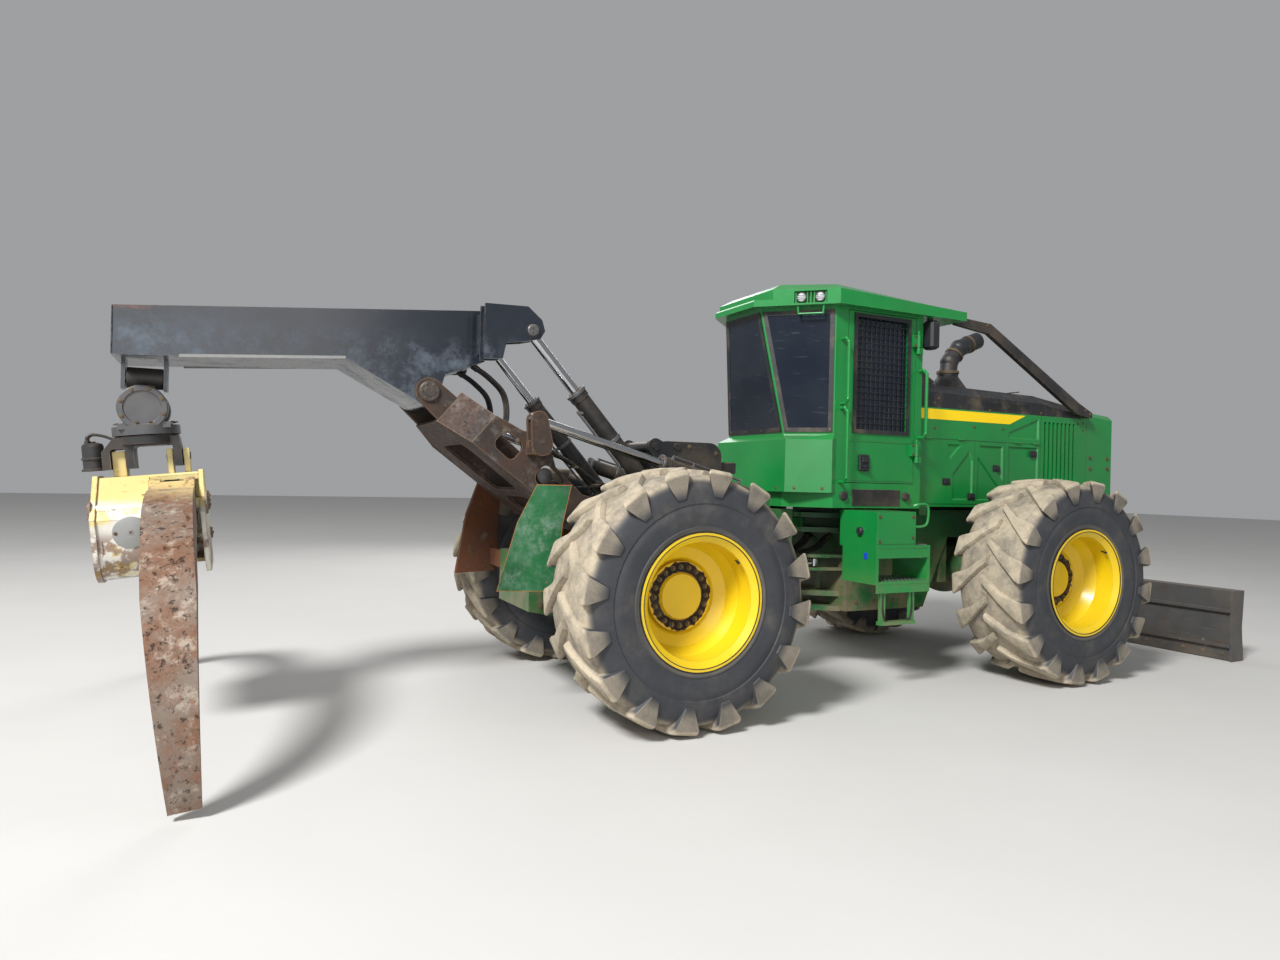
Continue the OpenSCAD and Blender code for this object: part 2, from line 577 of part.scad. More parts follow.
// Limb risers run from the roof's nose down to the radiator housing; [x from the roof's nose, height over the cab]
riser_t = 50;
riser_foot = nose_top + nose_rise;
module limb_risers() color([0.10, 0.10, 0.11]) front() {
  both() plate(hood_half + 60, riser_t) polygon([[roof_nose + seat, cab_top - 8], [roof_nose + seat, cab_top + 65],
    [roof_nose + 460, cab_top + 40], [nose_x - 135, riser_foot + 55], [nose_x + 65, riser_foot - 30],
    [nose_x + 65, riser_foot - 85], [nose_x - 165, riser_foot - 55], [roof_nose + 430, cab_top - 55]]);
  both() box([nose_x + 8, hood_half + seat, riser_foot - 82], [nose_x + 62, hood_half + 60, riser_foot - 40]);
}
step_x = [-10, 420];
step_y = 1150;
module steps() color([0.05, 0.34, 0.13]) front() {
  difference() {
    box([step_x[0], cab_half - 60, 1200], [step_x[1], step_y, 1510]);
    box([step_x[0] + 40, cab_half - 70, 1225], [step_x[1] - 40, step_y - 30, 1485]);
  }
  box([step_x[0], cab_half - 20, 900], [step_x[1] + 170, step_y, 925]);
  box([step_x[0], cab_half - 20, 900], [step_x[0] + 30, step_y, 1210]);
  box([step_x[1] + 140, cab_half - 20, 900], [step_x[1] + 170, step_y, 1225]);
  box([step_x[1] - 10, cab_half - 20, 1200], [step_x[1] + 170, step_y, 1225]);
  for (x = [60, 380]) box([x, step_y - 40, 560], [x + 60, step_y - 20, 910]);
  box([60, step_y - 60, 560], [440, step_y, 590]);
}
module steps_left() steps();
module steps_right() mirror([0, 1, 0]) steps();
rail_out = 90;
bend = 35;
module handrail(x, y, z0, z1) bent_tube([[x, y, z0], [x, y + rail_out - bend, z0], [x, y + rail_out, z0 + bend],
  [x, y + rail_out, z1 - bend], [x, y + rail_out - bend, z1], [x, y, z1]], 15);
module handrails() color([0.08, 0.45, 0.18]) front() both() {
  handrail(cab_front - 32, cab_half + seat, cab_ledge, cab_ledge + 610);
  handrail(door_x[0] - 72, cab_half + seat, door_low, cab_ledge + 220);
  handrail(door_x[0] - 72, cab_half + seat, cab_ledge + 260, cab_ledge + 820);
}

// A cylinder along +X from its base pin at the origin, with its pins along Y
module jack_barrel(r, bore_r, eye_r, eye_w, pin_r, mouth) difference() {
  union() {
    rotate([0, 90, 0]) cylinder(h = mouth, r = r);
    rotate([0, 90, 0]) translate([0, 0, mouth - 70]) cylinder(h = 70, r = r + 7);
    rotate([90, 0, 0]) cylinder(h = eye_w, r = eye_r, center = true);
  }
  for (s = [-1, 1]) translate([0, s * (eye_w / 2 + r), 0]) cube([2 * eye_r, 2 * r, 4 * eye_r], center = true);
  rotate([0, 90, 0]) translate([0, 0, eye_r + 10]) cylinder(h = mouth, r = bore_r);
  rotate([90, 0, 0]) cylinder(h = 4 * r, r = pin_r + fit, center = true);
}
module jack_rod(r, inner, length, eye_r, eye_w) {
  rotate([0, 90, 0]) translate([0, 0, inner]) cylinder(h = length - inner, r = r);
  translate([length, 0, 0]) rotate([90, 0, 0]) cylinder(h = eye_w, r = eye_r, center = true);
}
module along_xz(p, q, y) translate([p[0], y, p[1]]) rotate([0, -atan2(q[1] - p[1], q[0] - p[0]), 0]) children();
module along_xy(p, q, z) translate([p[0], p[1], z]) rotate([0, 0, atan2(q[1] - p[1], q[0] - p[0])])
  rotate([90, 0, 0]) children();

// Blade, measured from the middle joint
blade_x = 4440;
module blade() color([0.45, 0.50, 0.53]) front() {
  both() difference() {
    plate(front_half + gap + blade_arm_t / 2, blade_arm_t) link(blade_pivot, [blade_x - 70, 340], 95, 110);
    pin_y(blade_pivot, blade_pin_r + fit, front_half - 10, front_half + 120);
  }
  translate([0, blade_half, 0]) rotate([90, 0, 0]) linear_extrude(2 * blade_half) difference() {
    translate([blade_x, 8]) square([180, blade_h]);
    translate([blade_x + 555, 8 + blade_h * 0.48]) circle(r = 520);
  }
  for (z = [blade_h * 0.2, blade_h * 0.7])
    box([blade_x - 45, -blade_half + 10, z], [blade_x + 6, blade_half - 10, z + 28]);
  both() plate(blade_half - 10, 20) polygon([[blade_x - 30, 8], [blade_x + 180, 8], [blade_x + 180, 90],
    [blade_x + 165, 200], [blade_x + 150, blade_h * 0.48], [blade_x + 180, blade_h], [blade_x - 30, blade_h + 8]]);
  both() for (y = [blade_cyl_y - 52, blade_cyl_y + 52]) plate(y, 25)
    polygon([[blade_x + 2, 480], [blade_x + 2, 740], [blade_x - 60, 725], [blade_x - 115, 680],
      [blade_x - 115, 630], [blade_x - 60, 560]]);
}
module at_blade_jack() both() along_xz(blade_cyl_base, blade_cyl_eye, blade_cyl_y) children();
blade_jack = norm(blade_cyl_eye - blade_cyl_base);
module blade_barrels() color([0.12, 0.12, 0.13]) front() at_blade_jack() jack_barrel(50, 28 + fit, 55, 84, 25, 500);
module blade_rods() color([0.7, 0.7, 0.72]) front() at_blade_jack() jack_rod(28, 400, blade_jack, 45, 66);

// Rear half, measured from the rear axle
rear_rail = rear_half - rail_t / 2;
tongue_x = hitch_x - hitch_plate;
rear_tail = -800;
arch_pin = [arch_x, arch_z];
cyl_top = [-880, 2143];
cyl_base = [1050, 1597];
winch_x = [300, 960];
winch_top = frame_top + 560;
winch_pin = [560, frame_top + 290];
fairlead = [315, winch_top - 50];
rear_collar = 225;
bracket_x = 1000;
module rear_frame() color([0.05, 0.26, 0.11]) rear() {
  difference() {
    both() plate(rear_rail, rail_t) polygon([
      [rear_tail, 700], [-300, 600], [0, 560], [tongue_x, 560], [tongue_x, frame_top], [winch_x[0], frame_top],
      [-250, 1150], [rear_tail, 1120]]);
    pin_y([0, tyre_r], rear_collar + seat, -1000, 1000);
  }
  difference() {
    box([tongue_x - 40, -rear_half, 560], [tongue_x, rear_half, frame_top]);
    both() box([tongue_x - 60, 120, steer_z - 105], [tongue_x + 20, 340, steer_z + 95]);
  }
  box([winch_x[0], -rear_rail, frame_top - 30], [tongue_x - 30, rear_rail, frame_top]);
  box([350, -rear_rail, 560], [tongue_x - 30, rear_rail, 590]);
  box([rear_tail, -rear_rail, 700], [rear_tail + 30, rear_rail, 1120]);
  box([bracket_x, -arch_cyl_y - 78, frame_top - 22], [bracket_x + 115, arch_cyl_y + 78, frame_top + 20]);
  both() {
    pin_y(arch_pin, pivot_pin_r, rear_rail, arch_half + 20);
    pin_y(arch_pin, 110, rear_rail, rear_half + 8);
    for (y = [arch_cyl_y - 66, arch_cyl_y + 66]) plate(y, 24) intersection() {
      link(cyl_base, [1055, frame_top + 10], 70, 60);
      translate([900, frame_top]) square([300, 300]);
    }
    pin_y(cyl_base, 30, arch_cyl_y - 66, arch_cyl_y + 66);
    translate([hitch_x, 0, 0]) {
      for (z = [steer_z + steer_gap, steer_z - steer_gap - lug_plate]) translate([0, 0, z])
        linear_extrude(lug_plate) intersection() {
          link(steer_base, [steer_base[0], rear_rail], 60, 90);
          translate([steer_base[0] - 100, 100]) square([200, rear_rail - 100]);
        }
      translate([steer_base[0], steer_base[1], steer_z - steer_gap - lug_plate + 5])
        cylinder(h = 2 * (steer_gap + lug_plate - 5), r = 25);
    }
  }
  translate([hitch_x, 0, 0]) for (h = hinge_heights) {
    mirror([1, 0, 0]) hinge_plate(h - tongue_t / 2, 105, 300, tongue_t);
    translate([0, 0, h - ear_gap - ear_t - 20]) cylinder(h = 2 * (ear_gap + ear_t + 20), r = hinge_pin_r);
  }
}
module rear_axle() color([0.09, 0.30, 0.14]) rear() {
  axle_body();
  both() pin_y([0, tyre_r], rear_collar, 280, 400);
}
guard_dir = [cos(18), sin(18)];
guard_t = 28;
// Stations of a tail guard from the bottom up: [x, y, z, width]
guard_rows = [[-1120, 600, 900, 420], [-1010, 700, 1400, 330], [-890, 770, 1680, 250]];
function guard_ring(row) =
  let (a = [row[0], row[1]], v = guard_dir * row[3], n = turn(guard_dir) * guard_t)
  at_z([a, a + v, a + v + n, a + n], row[2]);
module tail_guards() color([0.30, 0.25, 0.18]) rear() both() {
  loft([for (row = guard_rows) guard_ring(row)]);
  box([rear_tail + 5, rear_half + seat, 960], [rear_tail + 50, 745, 1100]);
}
module winch_frame() color([0.15, 0.16, 0.16]) rear() {
  both() plate(260, 40) difference() {
    union() {
      round_box([winch_x[0], frame_top + seat], [winch_x[1], winch_top], 120);
      link(fairlead, fairlead + [200, -110], 70, 80);
    }
    translate(winch_pin) circle(r = 30 + fit);
  }
  pin_y(fairlead, 45, -250, 250);
  both() for (p = [fairlead, fairlead + [200, 5]]) pin_y(p, 28, 270, 296);
  box([720, -250, frame_top + seat], [winch_x[1] - 10, 250, 1760]);
}
module winch_drum() color([0.3, 0.3, 0.3]) rear() {
  pin_y(winch_pin, 30, -285, 285);
  pin_y(winch_pin, 90, -232, 232);
  both() pin_y(winch_pin, 150, 212, 232);
}

// Cylinders
boom_pin = [-887, 2811];
boom_pivot = [-boom_x, boom_z];
arch_jack = norm(cyl_top - cyl_base);
boom_jack = norm(boom_pin - arch_pin);
steer_jack = norm(steer_eye - steer_base);
module at_steer_jack() rear() translate([hitch_x, 0, 0]) along_xy(steer_base, steer_eye, steer_z) children();
module steer_barrel_left() color([0.12, 0.12, 0.13]) at_steer_jack() jack_barrel(42, 28 + fit, 52, 68, 25, 520);
module steer_barrel_right() mirror([0, 1, 0]) steer_barrel_left();
module steer_rod_left() color([0.7, 0.7, 0.72]) at_steer_jack() jack_rod(28, 300, steer_jack, 48, 66);
module steer_rod_right() mirror([0, 1, 0]) steer_rod_left();
module at_arch_jack() rear() both() along_xz(cyl_base, cyl_top, arch_cyl_y) children();
module at_boom_jack() rear() both() along_xz(arch_pin, boom_pin, boom_cyl_y) children();
module arch_barrels() color([0.12, 0.12, 0.13]) at_arch_jack() jack_barrel(62, 36 + fit, 70, 100, 30, 960);
module arch_rods() color([0.7, 0.7, 0.72]) at_arch_jack() jack_rod(36, 840, arch_jack, 60, 64);
module boom_barrels() color([0.12, 0.12, 0.13]) at_boom_jack() jack_barrel(68, 40 + fit, 85, 150, pivot_pin_r, 1589);
module boom_rods() color([0.7, 0.7, 0.72]) at_boom_jack() jack_rod(40, 1100, boom_jack, 65, 70);

// Arch, built from plates; each plane is named by two points of the side view
top_ear = [-1345, 2342];
low_ear = [-1530, 2124];
top_corner = [-1164, 2168];
low_corner = top_corner + (low_ear - top_ear) * 0.92;
top_end = [-485, 1608];
low_end = [-590, 1405];
arch_ear_t = 40;
arch_ear_y = boom_half + gap + arch_ear_t / 2;
arch_ear_out = arch_ear_y + arch_ear_t / 2;
leg_y = rear_half + 30;
module slab(p, q, t) along_xz(p, q, 0) linear_extrude(t) children();
function run(p, q) = norm(q - p);
arch_leg = [low_end, arch_pin + [-60, -140], arch_pin + [0, 150], top_end];
module arch_side() difference() {
  union() {
    polygon([top_corner, low_corner, low_end, arch_leg[1], arch_leg[2], top_end, [-700, 1808], [-780, 2065],
      [-950, 2065]]);
    translate(arch_pin) circle(r = 150);
  }
  translate([-1065, 1955]) rotate(-40) round_box([-95, -75], [95, 75], 50);
  translate([-745, 1710]) rotate(-40) round_box([-110, -80], [110, 80], 60);
  translate(arch_pin) circle(r = pivot_pin_r + fit);
}
module arch() color([0.30, 0.24, 0.19]) rear() {
  both() {
    plate(arch_half - arch_t / 2, arch_t) arch_side();
    plate(leg_y + 7, 26) difference() {
      union() {
        polygon(arch_leg);
        translate(arch_pin) circle(r = 150);
      }
      translate(arch_pin) circle(r = pivot_pin_r + fit);
    }
    plate(arch_ear_y, arch_ear_t) {
      link(boom_pivot, [-1430, 2200], 100, 110);
      polygon([top_ear, low_ear, low_corner + [20, -12], low_end + [-20, 20], top_end + [-20, -10],
        top_corner + [-10, -12]]);
    }
    loft([for (d = [0, arch_t - 6]) [for (c = [[top_ear, arch_ear_out], [top_corner, arch_half],
      [low_corner, arch_half], [low_ear, arch_ear_out]]) [c[0][0], c[1] - arch_t + 3 + d, c[0][1]]]]);
    for (y = [arch_cyl_y - 48.5, arch_cyl_y + 48.5]) plate(y, 21) link(cyl_top, [-855, 1965], 65, 80);
    box([-930, arch_half - 10, 1895], [-800, arch_cyl_y + 55, 1995]);
  }
  slab(low_ear, low_end, 24) difference() {
    polygon([[8, -arch_ear_out + 8], [8, arch_ear_out - 8], [run(low_ear, low_corner), arch_half - 8],
      [run(low_ear, low_end) - 8, arch_half - 8], [run(low_ear, low_end) - 8, -arch_half + 8],
      [run(low_ear, low_corner), -arch_half + 8]]);
    round_box([260, -320], [820, 320], 90);
    round_box([900, -320], [1110, 320], 80);
  }
  translate([-8, 0, -30]) slab(top_ear, top_corner, 24) polygon([[8, -arch_ear_out + 8], [8, arch_ear_out - 8],
    [run(top_ear, top_corner) - 8, arch_half - 8], [run(top_ear, top_corner) - 8, -arch_half + 8]]);
  pin_y(boom_pivot, pivot_pin_r, -arch_ear_out + 10, arch_ear_out - 10);
}
boom_hole = pivot_pin_r + fit;
module boom() color([0.10, 0.13, 0.18]) rear() translate([-boom_x, 0, boom_z]) {
  difference() {
    plate(0, 2 * boom_half) {
      polygon([[-boom_reach, 415], [-boom_reach, 103], [-560, 190], [-70, -72], [70, -72], [120, 135],
        [413, 252], [480, 640]]);
      circle(r = 100);
    }
    pin_y([0, 0], boom_hole, -400, 400);
  }
  both() {
    for (y = [boom_cyl_y - 60, boom_cyl_y + 60]) plate(y, 28) polygon([[340, 240], [475, 251], [502, 372],
      [640, 390], [760, 420], [795, 480], [770, 560], [661, 650], [340, 640]]);
    box([360, boom_half - 10, 300], [480, boom_cyl_y + 60, 600]);
    for (y = [boom_cyl_y - 84, boom_cyl_y + 74]) pin_y([698, 476], 50, y, y + 12);
  }
  for (x = [-hang_x - 134, -hang_x + 110]) box([x, -70, -swing_drop - 80], [x + 24, 70, 130]);
  pin_x([0, -swing_drop], 35, -hang_x - 134, -hang_x + 134);
}
hang = [-boom_x - hang_x, boom_z - swing_drop];
snub = hang + [0, -snub_drop];
module crosshead() color([0.2, 0.2, 0.22]) rear() translate([hang[0], 0, hang[1]]) difference() {
  union() {
    pin_x([0, 0], 70, -104, 104);
    box([-60, -50, -snub_drop], [60, 50, 0]);
    pin_y([0, -snub_drop], 85, -75, 75);
  }
  pin_x([0, 0], 35 + fit, -110, 110);
  pin_y([0, -snub_drop], 40 + fit, -80, 80);
}
bearing_z = 1950;
// What hangs below the snubber pin is drawn upright over the machine's middle, then leans with the parked grapple
module hung() rear() translate([snub[0], 0, snub[1]]) rotate([0, -hang_tilt, 0]) translate([0, 0, -snub[1]])
  children();
module snubber() color([0.3, 0.31, 0.33]) hung() translate([0, 0, snub[1]]) {
  pin_y([0, 0], 40, -150, 150);
  both() {
    pin_y([0, 0], 147, 81, 170);
    box([-110, 81, bearing_z + 40 - snub[1]], [110, 121, 0]);
  }
  box([-150, -170, bearing_z + 40 - snub[1]], [150, 170, bearing_z + 78 - snub[1]]);
  translate([0, 0, bearing_z - snub[1]]) difference() {
    cylinder(h = 60, r = 200);
    translate([0, 0, -10]) cylinder(h = 58, r = stem_r + fit);
  }
}
stem_r = 60;
yoke_top = bearing_z - gap;
yoke_low = head_top + 35;
leg_pin_z = yoke_low + 65;
leg_top = leg_pin_z + 50;
leg_pin_r = 25;
module yoke() color([0.13, 0.13, 0.14]) hung() {
  translate([0, 0, yoke_top - 54]) cylinder(h = 54, r = 190);
  translate([0, 0, yoke_top - 54]) cylinder(h = 88 + gap, r = stem_r);
  plate(0, 260) difference() {
    polygon([[-190, yoke_top - 10], [190, yoke_top - 10], [200, leg_top + 10], [200, yoke_low], [-257, yoke_low],
      [-257, leg_top], [-215, leg_top + 50]]);
    round_box([-209, yoke_low - 35], [-122, leg_top + 15], 20);
    round_box([-76, yoke_low - 35], [149, leg_top + 30], 20);
  }
  pin_x([0, leg_pin_z], leg_pin_r, -257, -76);
  pin_x([0, leg_pin_z], leg_pin_r, 102, 247);
  translate([-315, 0, yoke_low]) cylinder(h = 165, r = 62);
}
module head_outline(d) {
  polygon([[-150 + d * 0.6, head_top - d], [-head_half_y + d, 1430 - d * 0.5], [-head_half_y + d, 1240],
    [-300, head_low + d], [300, head_low + d], [head_half_y - d, 1240], [head_half_y - d, 1430 - d * 0.5],
    [150 - d * 0.6, head_top - d]]);
  for (s = [-1, 1]) translate([s * (head_half_y - 205), head_low + 205]) circle(r = 205 - d);
}
tong_pin = [-tong_y, tong_z];
tong_pin_r = 45;
end_t = 30;
skin_t = 25;
flange = 14;
tong_gap = 4;
jack_base = [330, 1240];
jack_x = tong_gap + tong_w / 2;
module in_yz(x, t) translate([x, 0, 0]) rotate([90, 0, 90]) linear_extrude(t) children();
module both_tongs() { children(); rotate([0, 0, 180]) children(); }
module grapple_head() color([0.85, 0.80, 0.55]) hung() {
  for (x = [-head_half_x, head_half_x - end_t]) in_yz(x, end_t) head_outline(0);
  difference() {
    in_yz(-head_half_x + 10, 2 * head_half_x - 20) difference() {
      head_outline(flange);
      head_outline(flange + skin_t);
    }
    box([-head_half_x + end_t, -260, head_low - 10], [head_half_x - end_t, 260, head_low + 100]);
    both_tongs() box([-2, -head_half_y - 20, head_low - 20], [head_half_x - end_t, -160, head_top + 20]);
  }
  both_tongs() {
    pin_x(tong_pin, tong_pin_r, -head_half_x + 10, head_half_x - 10);
    pin_x(jack_base, 25, jack_x - 75, head_half_x - 10);
    in_yz(jack_x - 75, 20) intersection() {
      head_outline(flange + 5);
      translate([200, head_low]) square([400, 420]);
    }
  }
  for (x = [[-203, -128], [108, 143], [206, 241]]) difference() {
    box([x[0], -90, head_top - 20], [x[1], 90, leg_top]);
    pin_x([0, leg_pin_z], leg_pin_r + fit, x[0] - 5, x[1] + 5);
  }
}
lever = [-240, 1600];
arc_centre = [-426, 71];
arc_r = 1395;
arc_lean = 122;
arc_share = [cos(100), sin(100)];
cheek = 62;
fork_depth = 62;
module tong_profile() {
  circle_at = arc_centre + arc_lean * arc_share;
  hole_at = arc_centre - arc_lean * arc_share;
  link(tong_pin, lever, 122, 55);
  difference() {
    intersection() {
      translate(circle_at) circle(r = arc_r + 3, $fn = 360);
      polygon([[tong_pin[0], 2000], [-2100, 2000], [-2100, 20], [arc_centre[0], 20], [tong_pin[0], 1000]]);
    }
    translate(hole_at) circle(r = arc_r - 3, $fn = 360);
  }
}
module tong_shape() difference() {
  intersection() {
    in_yz(tong_gap, tong_w) tong_profile();
    rotate([90, 0, 0]) translate([0, 0, -200]) linear_extrude(2500) polygon([
      [tong_gap, 1750], [tong_gap + tong_w, 1750], [tong_gap + tong_w, 1050],
      [tong_gap + (tong_w + tip_w) / 2, 0], [tong_gap + (tong_w - tip_w) / 2, 0], [tong_gap, 1050]]);
  }
  box([tong_gap + cheek, lever[0] - fork_depth, 1300], [tong_gap + tong_w - cheek, 0, 1800]);
  pin_x(tong_pin, tong_pin_r + fit, tong_gap - 5, tong_gap + tong_w + 5);
}
module tong_right() color([0.40, 0.32, 0.28]) hung() tong_shape();
module tong_left() color([0.40, 0.32, 0.28]) hung() rotate([0, 0, 180]) tong_shape();
tong_jack = norm(lever - jack_base);
module at_tong_jack() translate([jack_x, jack_base[0], jack_base[1]])
  rotate([atan2(lever[1] - jack_base[1], lever[0] - jack_base[0]), 0, 0]) rotate([0, 0, 90]) children();
module tong_barrel() at_tong_jack() jack_barrel(50, 30 + fit, 55, 90, 25, 540);
module tong_rod() at_tong_jack() jack_rod(30, 300, tong_jack, 45, 90);
module tong_barrel_right() color([0.12, 0.12, 0.13]) hung() tong_barrel();
module tong_barrel_left() color([0.12, 0.12, 0.13]) hung() rotate([0, 0, 180]) tong_barrel();
module tong_rod_right() color([0.7, 0.7, 0.72]) hung() tong_rod();
module tong_rod_left() color([0.7, 0.7, 0.72]) hung() rotate([0, 0, 180]) tong_rod();

// Wheels in place
module front_wheel(s) rear() wheel_place(wheelbase, s) children();
module rear_wheel(s) rear() wheel_place(0, s) children();
module tyre_front_left() color([0.12, 0.12, 0.12]) front_wheel(1) tyre();
module tyre_front_right() color([0.12, 0.12, 0.12]) front_wheel(-1) tyre();
module tyre_rear_left() color([0.12, 0.12, 0.12]) rear_wheel(1) tyre();
module tyre_rear_right() color([0.12, 0.12, 0.12]) rear_wheel(-1) tyre();
module rim_front_left() color([0.86, 0.62, 0.08]) front_wheel(1) rim();
module rim_front_right() color([0.86, 0.62, 0.08]) front_wheel(-1) rim();
module rim_rear_left() color([0.86, 0.62, 0.08]) rear_wheel(1) rim();
module rim_rear_right() color([0.86, 0.62, 0.08]) rear_wheel(-1) rim();

front_frame();
front_axle();
engine_block();
cab_shell();
cab_roof();
cab_glass();
cab_inside();
door_right();
door_left();
hood_top();
hood_side_right();
hood_side_left();
radiator_housing();
exhaust();
limb_risers();
steps_right();
steps_left();
handrails();
blade();
blade_barrels();
blade_rods();
tyre_front_left();
tyre_front_right();
tyre_rear_left();
tyre_rear_right();
rim_front_left();
rim_front_right();
rim_rear_left();
rim_rear_right();
rear_frame();
rear_axle();
tail_guards();
winch_frame();
winch_drum();
steer_barrel_left();
steer_barrel_right();
steer_rod_left();
steer_rod_right();
arch();
arch_barrels();
arch_rods();
boom();
boom_barrels();
boom_rods();
crosshead();
snubber();
yoke();
grapple_head();
tong_right();
tong_left();
tong_barrel_right();
tong_barrel_left();
tong_rod_right();
tong_rod_left();
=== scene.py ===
"""The look of the grapple skidder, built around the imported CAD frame.

+X is forward, +Y the machine's left, +Z up. Places and lengths are written in millimetres, as in part.scad, from
the rear axle with rear() or from the middle joint with front(), which give Blender's metres. Materials are told
in metres.
"""

import json
import math
import random
from functools import partialmethod

import bmesh
import bpy
from mathutils import Matrix, Vector
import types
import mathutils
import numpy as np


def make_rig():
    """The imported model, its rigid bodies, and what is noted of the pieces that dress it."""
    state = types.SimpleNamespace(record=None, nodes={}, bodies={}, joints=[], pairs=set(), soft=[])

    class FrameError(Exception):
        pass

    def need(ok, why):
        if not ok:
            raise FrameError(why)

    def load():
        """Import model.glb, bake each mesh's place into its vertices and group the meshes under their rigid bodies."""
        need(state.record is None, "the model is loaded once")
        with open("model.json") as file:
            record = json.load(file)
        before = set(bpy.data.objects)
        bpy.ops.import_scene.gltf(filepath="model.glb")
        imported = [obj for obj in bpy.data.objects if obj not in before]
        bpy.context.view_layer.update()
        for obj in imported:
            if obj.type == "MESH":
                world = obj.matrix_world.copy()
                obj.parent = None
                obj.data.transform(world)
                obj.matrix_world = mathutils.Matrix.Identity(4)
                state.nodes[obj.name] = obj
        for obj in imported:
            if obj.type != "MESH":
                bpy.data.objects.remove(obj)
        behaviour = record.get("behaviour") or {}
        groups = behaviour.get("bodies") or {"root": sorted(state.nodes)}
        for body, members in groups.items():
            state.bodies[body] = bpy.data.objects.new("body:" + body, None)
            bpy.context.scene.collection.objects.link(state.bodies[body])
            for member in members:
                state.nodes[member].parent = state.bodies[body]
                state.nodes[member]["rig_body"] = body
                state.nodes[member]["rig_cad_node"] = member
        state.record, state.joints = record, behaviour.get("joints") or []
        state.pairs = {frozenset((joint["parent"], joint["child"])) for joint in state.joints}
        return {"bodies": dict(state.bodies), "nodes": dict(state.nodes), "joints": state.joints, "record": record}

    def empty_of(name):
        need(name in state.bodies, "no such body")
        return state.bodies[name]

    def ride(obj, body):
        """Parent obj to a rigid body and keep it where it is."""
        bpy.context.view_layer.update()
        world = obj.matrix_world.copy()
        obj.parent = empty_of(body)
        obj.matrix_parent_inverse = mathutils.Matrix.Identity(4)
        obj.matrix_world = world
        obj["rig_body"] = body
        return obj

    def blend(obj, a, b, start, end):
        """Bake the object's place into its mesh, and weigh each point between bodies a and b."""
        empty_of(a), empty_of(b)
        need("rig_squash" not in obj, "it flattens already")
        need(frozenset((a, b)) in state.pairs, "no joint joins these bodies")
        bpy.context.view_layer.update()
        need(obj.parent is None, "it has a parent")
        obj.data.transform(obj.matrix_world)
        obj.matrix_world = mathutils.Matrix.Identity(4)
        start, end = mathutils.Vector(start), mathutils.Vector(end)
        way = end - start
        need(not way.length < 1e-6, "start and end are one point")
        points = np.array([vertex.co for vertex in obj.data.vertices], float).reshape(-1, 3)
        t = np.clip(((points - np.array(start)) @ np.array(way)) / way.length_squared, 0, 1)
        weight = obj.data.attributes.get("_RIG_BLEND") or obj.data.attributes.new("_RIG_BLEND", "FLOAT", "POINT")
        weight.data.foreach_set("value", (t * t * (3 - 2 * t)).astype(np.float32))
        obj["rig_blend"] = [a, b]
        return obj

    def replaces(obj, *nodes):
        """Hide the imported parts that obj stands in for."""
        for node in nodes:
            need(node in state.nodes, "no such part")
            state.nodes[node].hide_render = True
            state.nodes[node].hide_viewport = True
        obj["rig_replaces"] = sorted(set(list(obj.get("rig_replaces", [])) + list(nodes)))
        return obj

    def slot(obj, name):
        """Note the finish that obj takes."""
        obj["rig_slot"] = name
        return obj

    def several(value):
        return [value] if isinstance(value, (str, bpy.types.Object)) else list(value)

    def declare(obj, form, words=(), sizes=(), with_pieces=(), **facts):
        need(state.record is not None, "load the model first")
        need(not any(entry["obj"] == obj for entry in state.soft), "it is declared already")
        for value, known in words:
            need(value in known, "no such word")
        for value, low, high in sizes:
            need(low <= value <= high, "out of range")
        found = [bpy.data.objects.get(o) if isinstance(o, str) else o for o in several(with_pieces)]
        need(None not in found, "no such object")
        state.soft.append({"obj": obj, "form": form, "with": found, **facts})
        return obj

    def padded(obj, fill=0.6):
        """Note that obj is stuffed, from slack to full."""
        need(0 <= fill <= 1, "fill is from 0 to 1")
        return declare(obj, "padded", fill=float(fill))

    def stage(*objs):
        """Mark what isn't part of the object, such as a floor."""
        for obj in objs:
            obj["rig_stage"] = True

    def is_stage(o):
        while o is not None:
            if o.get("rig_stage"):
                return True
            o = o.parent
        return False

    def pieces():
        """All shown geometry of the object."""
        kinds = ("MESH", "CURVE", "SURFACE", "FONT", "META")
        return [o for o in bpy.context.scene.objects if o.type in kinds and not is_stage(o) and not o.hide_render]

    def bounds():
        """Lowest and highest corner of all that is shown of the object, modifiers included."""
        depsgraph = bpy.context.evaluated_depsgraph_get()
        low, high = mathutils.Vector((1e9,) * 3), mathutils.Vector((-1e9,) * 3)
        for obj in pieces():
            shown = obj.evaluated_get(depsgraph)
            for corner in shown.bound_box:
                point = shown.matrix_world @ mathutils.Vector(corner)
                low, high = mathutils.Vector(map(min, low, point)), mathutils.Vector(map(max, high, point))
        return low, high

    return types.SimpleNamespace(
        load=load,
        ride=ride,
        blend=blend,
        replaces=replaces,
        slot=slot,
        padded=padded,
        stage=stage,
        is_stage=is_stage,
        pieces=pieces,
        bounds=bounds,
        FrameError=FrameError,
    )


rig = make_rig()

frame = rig.load()
BOUNDS_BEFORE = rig.bounds()

REAR_AXLE_X = -1390
HITCH_X = 560
WHEELBASE = 3900
TYRE_R = 914
WHEEL_Y = 1302


def rear(x, y, z):
    return Vector((x + REAR_AXLE_X, y, z)) / 1000


def front(x, y, z):
    return Vector((x + HITCH_X, y, z)) / 1000


LEAN = math.radians(6)
SNUBBER_X = -3390
SNUBBER_Z = 2125


